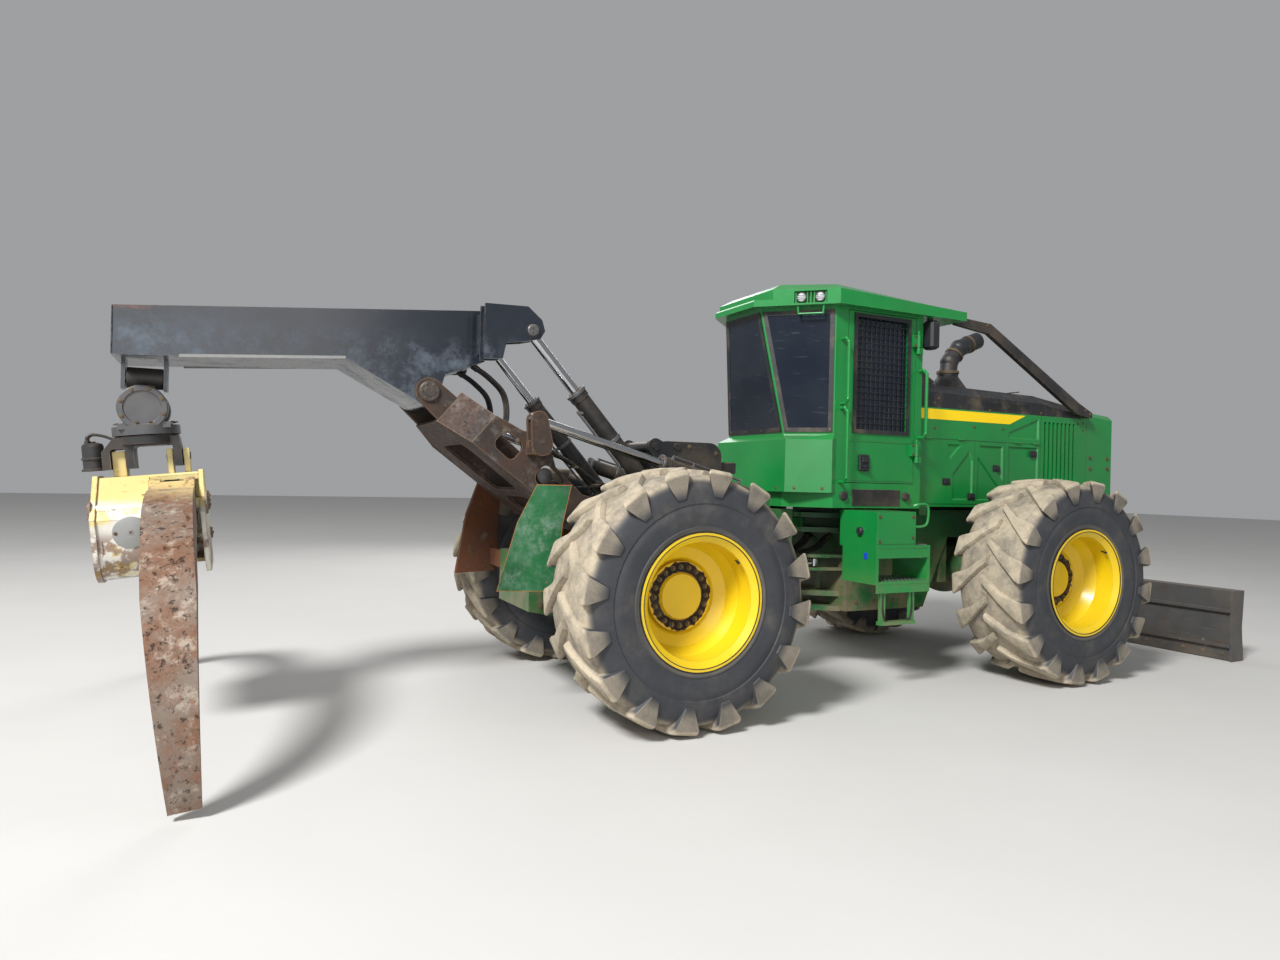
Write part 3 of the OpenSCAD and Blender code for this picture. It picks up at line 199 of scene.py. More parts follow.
def hung(x, y, z):
    """A place on the hanging grapple, told upright from its snubber pin; it leans as the grapple does."""
    drop = z - SNUBBER_Z
    return rear(SNUBBER_X + x * math.cos(LEAN) - drop * math.sin(LEAN), y,
                SNUBBER_Z + x * math.sin(LEAN) + drop * math.cos(LEAN))


def hung_far(x, y, z):
    """The same half a turn round the grapple, for its second tong."""
    return hung(-x, -y, z)


def add_object(name, data):
    made = bpy.data.objects.new(name, data)
    bpy.context.scene.collection.objects.link(made)
    return made


# ---------------------------------------------------------------- materials
def srgb(r, g, b):
    """A colour as read on a screen, 0 to 255, in Blender's linear values."""
    lin = [((c / 255 + 0.055) / 1.055) ** 2.4 if c > 10.3 else c / 255 / 12.92 for c in (r, g, b)]
    return (*lin, 1.0)


def darker(colour, share):
    return (*[c * share for c in srgb(*colour)[:3]], 1.0)


class Graph:
    """Short hand for building one material's nodes."""

    def __init__(self, name):
        self.mat = bpy.data.materials.new(name)
        self.mat.use_nodes = True
        self.tree = self.mat.node_tree
        self.tree.nodes.clear()
        self.out = self.node("ShaderNodeOutputMaterial")
        self.shader = self.node("ShaderNodeBsdfPrincipled")
        self.tree.links.new(self.shader.outputs[0], self.out.inputs["Surface"])
        self.coords = self.node("ShaderNodeTexCoord")

    def node(self, kind, **settings):
        made = self.tree.nodes.new(kind)
        for key, value in settings.items():
            setattr(made, key, value)
        return made

    def put(self, socket, value):
        """Feeds a socket with another one's output, a value, or a colour of three parts from 0 to 255."""
        if isinstance(value, bpy.types.NodeSocket):
            self.tree.links.new(value, socket)
        else:
            socket.default_value = srgb(*value) if isinstance(value, tuple) and len(value) == 3 else value

    def point(self, stretch=(1, 1, 1), turn=(0, 0, 0)):
        mapping = self.node("ShaderNodeMapping")
        mapping.inputs["Scale"].default_value = stretch
        mapping.inputs["Rotation"].default_value = turn
        self.put(mapping.inputs["Vector"], self.coords.outputs["Object"])
        return mapping.outputs["Vector"]

    def noise(self, scale, detail=6, rough=0.6, stretch=(1, 1, 1), turn=(0, 0, 0)):
        made = self.node("ShaderNodeTexNoise")
        self.put(made.inputs["Vector"], self.point(stretch, turn))
        made.inputs["Scale"].default_value = scale
        made.inputs["Detail"].default_value = detail
        made.inputs["Roughness"].default_value = rough
        return made.outputs["Fac"]

    def math(self, op, a, b=0.0, clamp=False):
        made = self.node("ShaderNodeMath", operation=op, use_clamp=clamp)
        self.put(made.inputs[0], a)
        self.put(made.inputs[1], b)
        return made.outputs[0]

    add = partialmethod(math, "ADD")
    less = partialmethod(math, "SUBTRACT")
    mul = partialmethod(math, "MULTIPLY")
    most = partialmethod(math, "MAXIMUM")
    size = partialmethod(math, "ABSOLUTE")

    def ramp(self, value, low, high, out_low=0.0, out_high=1.0):
        made = self.node("ShaderNodeMapRange", interpolation_type="SMOOTHSTEP")
        self.put(made.inputs["Value"], value)
        for key, v in (("From Min", low), ("From Max", high), ("To Min", out_low), ("To Max", out_high)):
            made.inputs[key].default_value = v
        return made.outputs["Result"]

    def spots(self, low, high, *noise):
        """The patches of a noise: 0 where it is under `low`, 1 where it is over `high`."""
        return self.ramp(self.noise(*noise), low, high)

    def mix(self, factor, a, b):
        made = self.node("ShaderNodeMix", data_type="RGBA")
        self.put(made.inputs["Factor"], factor)
        self.put(made.inputs[6], a)
        self.put(made.inputs[7], b)
        return made.outputs[2]

    def blend(self, mask, share, under, over):
        """A colour over another where the mask is, thinned to a share."""
        return self.mix(self.mul(mask, share), under, over)

    def lay(self, over, mask, share=None):
        """Lays one more colour over the material's own, where the mask is."""
        self.colour = self.mix(mask if share is None else self.mul(mask, share), self.colour, over)

    def position(self):
        split = self.node("ShaderNodeSeparateXYZ")
        self.put(split.inputs[0], self.coords.outputs["Object"])
        return split.outputs

    def upward(self):
        split = self.node("ShaderNodeSeparateXYZ")
        self.put(split.inputs[0], self.coords.outputs["Normal"])
        return split.outputs[2]

    def edges(self, radius):
        """1 along sharp edges, 0 on flat faces."""
        bevel = self.node("ShaderNodeBevel", samples=4)
        bevel.inputs["Radius"].default_value = radius
        geometry = self.node("ShaderNodeNewGeometry")
        dot = self.node("ShaderNodeVectorMath", operation="DOT_PRODUCT")
        self.put(dot.inputs[0], bevel.outputs[0])
        self.put(dot.inputs[1], geometry.outputs["Normal"])
        return self.ramp(dot.outputs["Value"], 0.995, 0.9)

    def finish(self, colour, rough, metal=0.0, bump=None, bump_size=0.01, coat=0.0):
        self.put(self.shader.inputs["Base Color"], colour)
        self.put(self.shader.inputs["Roughness"], rough)
        self.put(self.shader.inputs["Metallic"], metal)
        if coat:
            self.shader.inputs["Coat Weight"].default_value = coat
            self.shader.inputs["Coat Roughness"].default_value = 0.2
        if bump is not None:
            made = self.node("ShaderNodeBump")
            made.inputs["Strength"].default_value = 1.0
            made.inputs["Distance"].default_value = bump_size
            self.put(made.inputs["Height"], bump)
            self.put(self.shader.inputs["Normal"], made.outputs["Normal"])
        return self.mat


DUST = (150, 130, 104)
MUD = (84, 70, 54)
RUST = (112, 62, 34)
BARE = (150, 146, 140)


def worn(name, paint, dust=0.35, rust=0.15, scratch=0.2, rough=0.4, metal=0.0, mud_top=1.3, edge=0.6,
         scratch_colour=BARE, shade=0.75, coat=0.0):
    """Old paint: patchy colour, dust on top faces, mud low down, worn edges, scratches and rust."""
    g = Graph(name)
    patch = g.noise(1.3, 5)
    g.colour = g.mix(g.ramp(patch, 0.35, 0.65), darker(paint, shade), paint)
    fine = g.noise(42, 8, 0.7)
    rusty = g.mul(g.spots(0.62 - 0.1 * rust, 0.7, 7, 10, 0.75), min(1.0, rust * 2.2))
    g.lay(g.mix(fine, RUST, (70, 44, 30)), rusty)
    lines = g.spots(0.67, 0.7, 5, 5, 0.6, (1, 1, 22), (0.3, 0.7, 0))
    more = g.spots(0.68, 0.71, 5, 5, 0.6, (20, 1, 1), (0.2, 0.9, 0.6))
    marks = g.mul(g.most(lines, more), scratch)
    g.lay(scratch_colour, marks)
    if edge:
        chips = g.mul(g.edges(0.008), g.spots(0.42, 0.6, 18, 6))
        g.lay(g.mix(fine, RUST, BARE), chips, edge)
    top = g.ramp(g.upward(), 0.3, 0.95)
    dusty = g.mul(g.mul(top, 0.9), g.ramp(g.noise(3, 8), 0.3, 0.7, 0.4, 1.0))
    film = g.mul(g.spots(0.38, 0.75, 2.2, 9, 0.65), 0.55)
    dusty = g.mul(g.most(dusty, film), dust)
    g.lay(DUST, dusty)
    low = g.mul(g.ramp(g.position()[2], mud_top, mud_top - 0.9), g.spots(0.35, 0.6, 4, 9, 0.7))
    g.lay(g.mix(fine, MUD, DUST), low, 0.75)
    roughness = g.ramp(g.add(g.mul(dusty, 0.7), g.mul(fine, 0.35)), 0.1, 0.9, rough, 0.9)
    height = g.add(g.mul(fine, 0.25), g.mul(rusty, 0.6))
    height = g.less(height, g.mul(marks, 0.5))
    return g.finish(g.colour, roughness, metal, height, 0.0015, coat)


def tyre_material():
    """Dark sidewalls and tan, dusty lugs; the radius is measured from the wheel's own middle."""
    g = Graph("tyre_rubber")
    hitch_x, half_base, tyre_r, wheel_y = (v / 1000 for v in (HITCH_X, WHEELBASE / 2, TYRE_R, WHEEL_Y))
    x, y, z = g.position()
    along = g.less(g.size(g.less(x, hitch_x)), half_base)
    up = g.less(z, tyre_r)
    radius = g.math("SQRT", g.add(g.mul(along, along), g.mul(up, up)))
    fine = g.noise(70, 8, 0.7)
    patch = g.noise(5, 8, 0.65)
    rubber = g.mix(patch, (34, 36, 42), (62, 64, 68))
    dust = g.mix(fine, (204, 190, 166), (150, 138, 118))
    smudge = g.spots(0.42, 0.66, 6, 9, 0.7, (1, 1, 1), (0.4, 0.2, 0))
    dust = g.blend(smudge, 0.55, dust, (98, 94, 88))
    flat = g.size(g.less(g.size(y), wheel_y))
    bars = g.mul(g.ramp(radius, tyre_r - 0.075, tyre_r - 0.03), g.ramp(patch, 0.2, 0.6, 0.7, 1.0))
    ends = g.mul(g.ramp(radius, 0.7, 0.8), g.ramp(flat, 0.3535, 0.3565))
    tread = g.most(bars, g.mul(ends, 0.45))
    crown = g.mul(g.ramp(flat, 0.345, 0.3), g.ramp(radius, 0.78, 0.84))
    tread = g.most(tread, g.mul(crown, g.ramp(g.noise(4, 9, 0.7), 0.3, 0.6, 0.35, 0.9)))
    hem = g.mul(g.ramp(radius, 0.52, 0.47), 0.25)
    side = g.mul(g.spots(0.45, 0.8, 3, 9, 0.7), 0.16)
    mask = g.most(g.most(tread, hem), side, clamp=True)
    g.colour = g.mix(mask, rubber, dust)
    rings = g.mul(g.math("SINE", g.mul(radius, 420.0)), 0.08)
    height = g.add(g.mul(fine, 0.4), rings)
    return g.finish(g.colour, g.ramp(mask, 0.0, 1.0, 0.62, 0.95), 0.0, height, 0.002)


def rust_material(name, base, second, rough=0.75, metal=0.2, bump=0.006, bright=0.35):
    """Scaled, flaking steel with paler worn patches."""
    g = Graph(name)
    big = g.noise(3.2, 8, 0.7)
    fine = g.noise(34, 10, 0.75)
    pits = g.spots(0.56, 0.66, 22, 12, 0.8)
    g.colour = g.mix(g.ramp(big, 0.35, 0.65), base, second)
    g.lay(BARE, g.spots(0.52, 0.66, 6, 7, 0.7), bright)
    g.lay((52, 36, 28), pits, 0.8)
    g.lay((170, 130, 96), g.edges(0.01), 0.5)
    height = g.less(g.mul(fine, 0.5), g.mul(pits, 0.6))
    return g.finish(g.colour, g.ramp(fine, 0.3, 0.7, rough - 0.15, rough + 0.15), metal, height, bump)


def plain_material(name, colour, rough=0.5, metal=0.0, grime=0.3, bump=0.0008, scale=30, coat=0.0):
    g = Graph(name)
    fine = g.noise(scale, 8, 0.65)
    tone = g.mix(fine, darker(colour, 0.7), colour)
    tone = g.blend(g.spots(0.45, 0.75, 3, 8, 0.7), grime, tone, DUST)
    return g.finish(tone, g.ramp(fine, 0.3, 0.7, rough * 0.8, min(1.0, rough * 1.2)), metal, fine, bump, coat)


def glass_material():
    """Tinted pane with a thin film of dust and a few wiped streaks."""
    g = Graph("cab_glass_pane")
    film = g.spots(0.35, 0.75, 2.2, 5, 0.5)
    streaks = g.spots(0.64, 0.7, 6, 3, 0.5, (1, 1, 9), (0.5, 0.2, 0))
    g.shader.inputs["Transmission Weight"].default_value = 0.4
    g.shader.inputs["IOR"].default_value = 1.45
    tone = g.blend(film, 0.5, (30, 38, 52), (50, 58, 68))
    tone = g.blend(streaks, 0.2, tone, (110, 120, 130))
    return g.finish(tone, g.ramp(film, 0.0, 1.0, 0.03, 0.08))


def boom_material():
    """Glossy near-black navy; the lower half is scuffed grey-blue, and rust shows along the top edge of the tip."""
    g = Graph("boom_paint")
    x, _, z = g.position()
    fine = g.noise(38, 8, 0.7)
    g.colour = g.mix(g.spots(0.35, 0.65, 1.1, 4), (22, 26, 34), (32, 38, 48))
    low = g.ramp(z, 2.8, 2.58)
    wear = g.mul(g.spots(0.4, 0.72, 7, 9, 0.72), g.ramp(g.noise(1.5, 3), 0.35, 0.6, 0.3, 1.0))
    scuff = g.mul(low, wear)
    lines = g.spots(0.7, 0.72, 5, 4, 0.5, (1, 1, 26), (0, 0.6, 0))
    scuff = g.most(scuff, g.mul(lines, g.ramp(z, 2.9, 2.5, 0.1, 0.45)))
    g.lay((110, 124, 138), scuff, 0.46)
    chips = g.mul(g.edges(0.008), g.spots(0.45, 0.6, 16, 6))
    g.lay((120, 104, 90), chips, 0.5)
    tip = g.mul(g.ramp(z, 2.728, 2.748), g.ramp(x, rear(-3100, 0, 0).x, rear(-3400, 0, 0).x))
    g.lay(g.mix(fine, (120, 66, 34), (70, 46, 34)), tip, g.ramp(g.noise(9, 8), 0.4, 0.7, 0.0, 0.8))
    top = g.mul(g.ramp(g.upward(), 0.3, 0.95), 0.3)
    g.lay(DUST, top, g.spots(0.1, 0.8, 2.4, 9, 0.7))
    rough = g.ramp(g.add(scuff, g.mul(fine, 0.3)), 0.1, 1.0, 0.2, 0.6)
    height = g.less(g.mul(fine, 0.15), g.mul(scuff, 0.4))
    return g.finish(g.colour, rough, 0.0, height, 0.001, 0.4)


def head_material():
    """Pale yellow grapple paint: worn white-grey on the bulge, nicked brown, rusty along the low edges."""
    g = Graph("cream_paint")
    z = g.position()[2]
    fine = g.noise(40, 8, 0.7)
    g.colour = g.mix(g.spots(0.35, 0.65, 1.6, 5), (206, 186, 122), (222, 208, 150))
    bulge = g.mul(g.ramp(z, 1.54, 1.48), g.spots(0.4, 0.5, 5, 9, 0.7))
    g.lay((206, 205, 200), bulge, 0.9)
    nicks = g.spots(0.63, 0.67, 9, 6, 0.65, (1, 1.6, 3.4), (0.3, 0.9, 0.4))
    rust = g.mix(fine, (128, 74, 40), (70, 48, 36))
    g.lay(rust, nicks, 0.8)
    low = g.mul(g.ramp(z, 1.36, 1.26), g.spots(0.44, 0.52, 8, 9, 0.7))
    edge = g.mul(g.edges(0.012), g.spots(0.36, 0.56, 11, 6))
    worn_through = g.most(g.mul(low, 0.75), g.mul(edge, 0.85))
    g.lay(rust, worn_through)
    height = g.less(g.mul(fine, 0.2), g.most(nicks, worn_through))
    return g.finish(g.colour, g.ramp(fine, 0.3, 0.7, 0.35, 0.6), 0.0, height, 0.0012)


def tong_material():
    """Pitted brown and grey steel, with cream paint left at the root and pale crust down the blade."""
    g = Graph("tong_steel")
    z = g.position()[2]
    fine = g.noise(44, 10, 0.78)
    g.colour = g.mix(g.spots(0.35, 0.65, 3.2, 8, 0.7), (112, 78, 56), (122, 108, 96))
    pale = g.mul(g.spots(0.5, 0.64, 9, 10, 0.8), 0.5)
    g.lay((190, 180, 164), pale)
    rust = g.spots(0.55, 0.64, 13, 10, 0.8, (1, 1, 1), (0.5, 0.1, 0))
    g.lay((132, 72, 40), rust, 0.6)
    pits = g.spots(0.56, 0.63, 24, 12, 0.8)
    g.lay((50, 38, 34), pits, 0.8)
    root = g.mul(g.ramp(z, 1.52, 1.66), g.spots(0.35, 0.55, 7, 8, 0.7))
    g.lay((224, 196, 130), root, 0.85)
    height = g.less(g.mul(fine, 0.6), g.mul(pits, 0.8))
    return g.finish(g.colour, g.ramp(fine, 0.3, 0.7, 0.55, 0.85), 0.15, height, 0.006)


def guard_material():
    """Tail guards: the right one keeps scraped green paint, the left one is bare rusty steel."""
    g = Graph("guard_steel")
    _, y, z = g.position()
    fine = g.noise(34, 10, 0.75)
    paint = g.mix(g.spots(0.35, 0.65, 2.0, 5), (8, 74, 36), (14, 96, 48))
    wear = g.spots(0.42, 0.66, 9, 10, 0.78)
    scrape = g.mul(wear, g.ramp(g.noise(1.6, 4), 0.38, 0.6, 0.25, 1.0))
    scrape = g.mul(scrape, g.ramp(z, 1.55, 1.15, 0.35, 1.0))
    paint = g.blend(scrape, 0.8, paint, (150, 166, 156))
    edge = g.mul(g.edges(0.012), g.spots(0.3, 0.5, 9, 6))
    paint = g.mix(edge, paint, (190, 96, 40))
    bare = g.mix(g.spots(0.35, 0.65, 3, 8, 0.7), (112, 66, 40), (86, 60, 46))
    bare = g.blend(g.spots(0.55, 0.68, 6, 7, 0.7), 0.4, bare, (150, 130, 110))
    left = g.ramp(y, -0.02, 0.02)
    g.colour = g.mix(left, paint, bare)
    rough = g.ramp(fine, 0.3, 0.7, 0.5, 0.8)
    return g.finish(g.colour, rough, 0.1, g.add(g.mul(fine, 0.5), scrape), 0.002)


GREEN = worn("green_paint", (10, 128, 56), dust=0.07, rust=0.01, scratch=0.05, rough=0.28, coat=0.3, mud_top=1.2,
             edge=0.25, shade=0.86, scratch_colour=(120, 190, 130))
FRAME_GREEN = worn("frame_paint", (8, 96, 44), dust=0.3, rust=0.16, scratch=0.15, rough=0.45, mud_top=1.5)
YELLOW = worn("yellow_paint", (226, 192, 16), dust=0.08, rust=0.05, scratch=0.1, rough=0.34, mud_top=0.5,
              shade=0.88, coat=0.2)
STRIPE = worn("stripe_paint", (250, 212, 10), dust=0.03, rust=0.0, scratch=0.03, rough=0.35, edge=0, shade=0.95)
CREAM = head_material()
BOOM_BLUE = boom_material()
BLADE_STEEL = worn("blade_steel", (82, 82, 82), dust=0.3, rust=0.45, scratch=0.5, rough=0.42, metal=0.3, mud_top=0.4)
BLACK_PLASTIC = plain_material("black_plastic", (34, 36, 40), 0.5, grime=0.3)
BLACK_PAINT = worn("black_paint", (30, 31, 34), dust=0.35, rust=0.06, scratch=0.2, rough=0.4)
CHROME = plain_material("rod_chrome", (196, 198, 202), 0.14, 1.0, grime=0.12, bump=0.0001)
DARK_CAST = worn("dark_casting", (52, 52, 54), dust=0.3, rust=0.25, scratch=0.3, rough=0.5, metal=0.3, mud_top=0.4)
GREY_CAST = worn("grey_casting", (92, 94, 98), dust=0.25, rust=0.15, scratch=0.3, rough=0.45, metal=0.4, mud_top=0.4)
ARCH_RUST = rust_material("arch_rust", (70, 52, 42), (52, 46, 42), bright=0.22, bump=0.003)
TONG_STEEL = tong_material()
GUARD_STEEL = guard_material()
ENGINE_GREY = plain_material("engine_grey", (58, 58, 54), 0.6, 0.2, grime=0.5)
SEAT_BLACK = plain_material("seat_cloth", (34, 34, 38), 0.85, grime=0.15, scale=140)
WINCH_STEEL = worn("winch_steel", (70, 72, 74), dust=0.5, rust=0.3, scratch=0.3, rough=0.5, metal=0.5)
BOLT_STEEL = worn("bolt_steel", (98, 84, 66), dust=0.4, rust=0.5, scratch=0.0, rough=0.55, metal=0.4, edge=0)
HOSE_RUBBER = plain_material("hose_rubber", (26, 26, 28), 0.55, grime=0.25, scale=90)
MESH_BLACK = plain_material("guard_mesh", (24, 26, 28), 0.5, grime=0.2)
CRUST = rust_material("hub_crust", (46, 34, 24), (24, 20, 18), rough=0.9, metal=0.0, bright=0.1)
TYRE_RUBBER = tyre_material()
GLASS = glass_material()
LENS = plain_material("lamp_lens", (214, 220, 224), 0.12, 0.0, grime=0.15, bump=0.0003, coat=0.6)
MESH_BAR = plain_material("guard_bar", (22, 23, 25), 0.65, grime=0.1)
BLUE_PLASTIC = plain_material("blue_reflector", (30, 70, 190), 0.2, grime=0.1, coat=0.5)
TREAD_STEEL = plain_material("tread_steel", (130, 134, 130), 0.4, 0.6, grime=0.3)
PALE_STEEL = worn("pale_steel", (150, 152, 150), dust=0.2, rust=0.12, scratch=0.4, rough=0.45, metal=0.4,
                  mud_top=0.4, scratch_colour=(90, 84, 76))

SLOTS = {BLACK_PLASTIC: "black_plastic", BLACK_PAINT: "black_plastic", GREEN: "green_paint", STRIPE: "yellow_paint",
         FRAME_GREEN: "frame_paint", BOOM_BLUE: "boom_paint", CREAM: "cream_paint", GREY_CAST: "grey_steel",
         ARCH_RUST: "rusty_steel", TONG_STEEL: "tong_steel", WINCH_STEEL: "winch_steel", GLASS: "glass",
         TYRE_RUBBER: "tyre"}
# The CAD's nodes that each material dresses, by the beginnings of their names
NODE_MATERIALS = [
    (GREEN, "cab_shell cab_roof door_ hood_side_ radiator_housing steps_ handrails"),
    (FRAME_GREEN, "front_frame front_axle rear_frame rear_axle"), (YELLOW, "rim_"), (TYRE_RUBBER, "tyre_"),
    (BLACK_PLASTIC, "hood_top exhaust"),
    (BLACK_PAINT, "limb_risers blade_barrels arch_barrels boom_barrels steer_barrel_ tong_barrel_ winch_frame"),
    (CHROME, "blade_rods arch_rods boom_rods steer_rod_ tong_rod_"), (ENGINE_GREY, "engine_block"),
    (GLASS, "cab_glass"), (SEAT_BLACK, "cab_inside"), (GUARD_STEEL, "tail_guards"), (DARK_CAST, "crosshead yoke"),
    (GREY_CAST, "snubber"), (CREAM, "grapple_head"), (TONG_STEEL, "tong_right tong_left"),
    (WINCH_STEEL, "winch_drum"),
]
WHOLE_NAMES = {"blade": BLADE_STEEL, "arch": ARCH_RUST, "boom": BOOM_BLUE}
for name, node in frame["nodes"].items():
    found = WHOLE_NAMES.get(name) or next(m for m, starts in NODE_MATERIALS if name.startswith(tuple(starts.split())))
    node.data.materials.clear()
    node.data.materials.append(found)

# ---------------------------------------------------------------- added pieces
SHARP = math.radians(35)
X, Y, Z = Matrix.Identity(3)


def smooth_path(points, steps):
    """Points along a soft curve through the given ones."""
    ends = [points[0] * 2 - points[1], *points, points[-1] * 2 - points[-2]]
    made = []
    for i in range(1, len(ends) - 2):
        a, b, c, d = ends[i - 1:i + 3]
        for k in range(steps):
            t = k / steps
            made.append(0.5 * (2 * b + (c - a) * t + (2 * a - 5 * b + 4 * c - d) * t ** 2
                               + (3 * b - 3 * c + d - a) * t ** 3))
    return [*made, points[-1]]


def square_to(axis):
    """Two unit vectors square to an axis and to each other."""
    axis = Vector(axis).normalized()
    side = axis.cross(Z)
    if side.length < 0.1:
        side = axis.cross(Y)
    side.normalize()
    return side, side.cross(axis)


class Piece:
    """Gathers closed forms in one mesh. Points are told in the frame of `place`: front, rear or hung.

    What adds a form gives the piece back, so that calls can follow one another.
    """

    def __init__(self, place=front):
        self.place = place
        self.bm = bmesh.new()

    def skin(self, rings, loop=False):
        """Faces between rings of points; the rings form a loop, or the first and last are capped."""
        made = [[self.bm.verts.new(self.place(*p)) for p in ring] for ring in rings]
        count = len(made[0])
        for low, high in zip(made, made[1:] + made[:1] if loop else made[1:]):
            for i in range(count):
                j = (i + 1) % count
                self.bm.faces.new((low[i], low[j], high[j], high[i]))
        if not loop:
            self.bm.faces.new(made[0][::-1])
            self.bm.faces.new(made[-1])
        return self

    def box(self, low, high, edge=3):
        """An upright block with chamfered edges."""
        x0, y0, z0 = (min(a, b) for a, b in zip(low, high))
        x1, y1, z1 = (max(a, b) for a, b in zip(low, high))
        e = min(edge, (x1 - x0) / 4, (y1 - y0) / 4, (z1 - z0) / 4)

        def ring(d, z):
            a, b, c, f = x0 + d, x1 - d, y0 + d, y1 - d
            return [(a + e, c, z), (b - e, c, z), (b, c + e, z), (b, f - e, z), (b - e, f, z), (a + e, f, z),
                    (a, f - e, z), (a, c + e, z)]
        return self.skin([ring(e, z0), ring(0, z0 + e), ring(0, z1 - e), ring(e, z1)])

    def lathe(self, at, axis, profile, sides=24, turn=0.0):
        """A turned solid; its profile is [radius, distance along the axis], both ends capped."""
        at, axis = Vector(at), Vector(axis).normalized()
        side, over = square_to(axis)
        angles = [turn + k * math.tau / sides for k in range(sides)]
        return self.skin([[at + axis * h + (side * math.cos(a) + over * math.sin(a)) * r for a in angles]
                   for r, h in profile])

    def rod(self, a, b, r, sides=16):
        a, b = Vector(a), Vector(b)
        length = (b - a).length
        e = min(0.15 * r, 0.2 * length)
        return self.lathe(a, b - a, [(r - e, 0), (r, e), (r, length - e), (r - e, length)], sides)

    def hoop(self, at, axis, profile, sides=32):
        """A ring; its profile is a closed outline of [radius, distance along the axis]."""
        at, axis = Vector(at), Vector(axis).normalized()
        side, over = square_to(axis)
        rings = []
        for k in range(sides):
            out = side * math.cos(k * math.tau / sides) + over * math.sin(k * math.tau / sides)
            rings.append([at + axis * h + out * r for r, h in profile])
        return self.skin(rings, loop=True)

    def band(self, at, axis, r_in, r_out, wide, sides=32):
        e = 0.2 * (r_out - r_in)
        half = wide / 2
        return self.hoop(at, axis, [(r_in, -half), (r_out - e, -half), (r_out, -half + e), (r_out, half - e),
                             (r_out - e, half), (r_in, half)], sides)

    def tube(self, points, r, sides=8, steps=6):
        """A hose or pipe of even thickness along a soft curve."""
        path = smooth_path([Vector(p) for p in points], steps)
        over = square_to(path[1] - path[0])[1]
        rings = []
        for i, p in enumerate(path):
            ahead = (path[min(i + 1, len(path) - 1)] - path[max(i - 1, 0)]).normalized()
            over = (over - ahead * over.dot(ahead)).normalized()
            side = over.cross(ahead)
            rings.append([p + (side * math.cos(a) + over * math.sin(a)) * r
                          for a in (k * math.tau / sides for k in range(sides))])
        return self.skin(rings)

    def bolt(self, at, axis, r, tall=None):
        """A hexagonal head on its washer."""
        tall = tall or 0.7 * r
        self.lathe(at, axis, [(1.5 * r, -1), (1.5 * r, 0.15 * tall), (1.4 * r, 0.25 * tall)], 14)
        return self.lathe(at, axis, [(r, 0.2 * tall), (r, 0.9 * tall), (0.85 * r, tall)], 6, turn=r / 10)

    def side_bolts(self, y, r, places):
        """Heads on the left side, y out from the middle, each at its x and z."""
        for x, z in places:
            self.bolt((x, y, z), Y, r)
        return self

    def cap(self, at, axis, r, low, high, edge, rise, sides=24):
        """A round lid from low to high along the axis, its rim chamfered by `edge` over `rise`."""
        return self.lathe(at, axis, [(r, low), (r, high), (r - edge, high + rise)], sides)

    def bolt_circle(self, at, axis, radius, count, r, tall=None, start=0.0):
        at = Vector(at)
        side, over = square_to(axis)
        for k in range(count):
            a = start + k * math.tau / count
            self.bolt(at + (side * math.cos(a) + over * math.sin(a)) * radius, axis, r, tall)
        return self

    def slab(self, outline, out):
        """A flat outline in space, made solid along `out`."""
        out = Vector(out)
        outline = [Vector(p) for p in outline]
        return self.skin([outline, [p + out for p in outline]])

    def frame(self, corners, width, out):
        """A flat border of even width inside some corners, made solid along `out`."""
        corners = [Vector(p) for p in corners]
        out = Vector(out)
        inner = []
        for i, p in enumerate(corners):
            u = (corners[i - 1] - p).normalized()
            v = (corners[(i + 1) % len(corners)] - p).normalized()
            inner.append(p + (u + v) * width / u.cross(v).length)
        return self.skin([[o, i, i + out, o + out] for o, i in zip(corners, inner)], loop=True)

    def both(self):
        """Adds the mirror image on the other side of the machine."""
        geom = self.bm.verts[:] + self.bm.edges[:] + self.bm.faces[:]
        copy = bmesh.ops.duplicate(self.bm, geom=geom)["geom"]
        for v in copy:
            if isinstance(v, bmesh.types.BMVert):
                v.co.y = -v.co.y
        return self

    def finish(self, name, material, body="front", slot=None):
        """Makes the object, on its body and with its slot: the material's own one, or a given one."""
        bmesh.ops.recalc_face_normals(self.bm, faces=self.bm.faces)
        mesh = bpy.data.meshes.new(name)
        self.bm.to_mesh(mesh)
        self.bm.free()
        mesh.polygons.foreach_set("use_smooth", [True] * len(mesh.polygons))
        mesh.set_sharp_from_angle(angle=SHARP)
        mesh.materials.append(material)
        made = add_object(name, mesh)
        if body:
            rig.ride(made, body)
        slot = slot or SLOTS.get(material)
        if slot:
            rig.slot(made, slot)
        return made


SIDES = {-1: "right", 1: "left"}


# Wheels: places from the wheel's own middle, y outwards
LUGS = 16
TYRE_HALF = 360
LUG_T = 92
# Sidewall and crown of a tyre's outer half: [radius, distance from the middle]
TYRE_SIDE = [(430, 318), (470, 330), (488, 343), (506, 346), (514, 341), (545, 346), (600, 352), (642, 353), (650, 348),
             (662, 348), (668, 353), (720, 350), (770, 340), (812, 324), (842, 296), (858, 250), (862, 190), (864, 100)]
# Stations along a lug: [share of the half width, turn in degrees, radius, half thickness, foot radius, foot spread]
LUG_ROWS = [(-0.06, -1.5, 912, 0.4, 850, 1.35), (0.2, 3.2, 913, 0.46, 850, 1.35), (0.45, 8.0, 911, 0.56, 850, 1.3),
            (0.7, 11.5, 907, 0.8, 835, 1.1), (0.88, 14.0, 902, 1.04, 770, 0.75), (0.965, 15.0, 896, 1.08, 705, 0.46),
            (0.997, 15.3, 880, 1.02, 712, 0.42)]


def wheel_place(x, side):
    return lambda a, b, c: rear(x + a, side * (WHEEL_Y + b), TYRE_R + c)


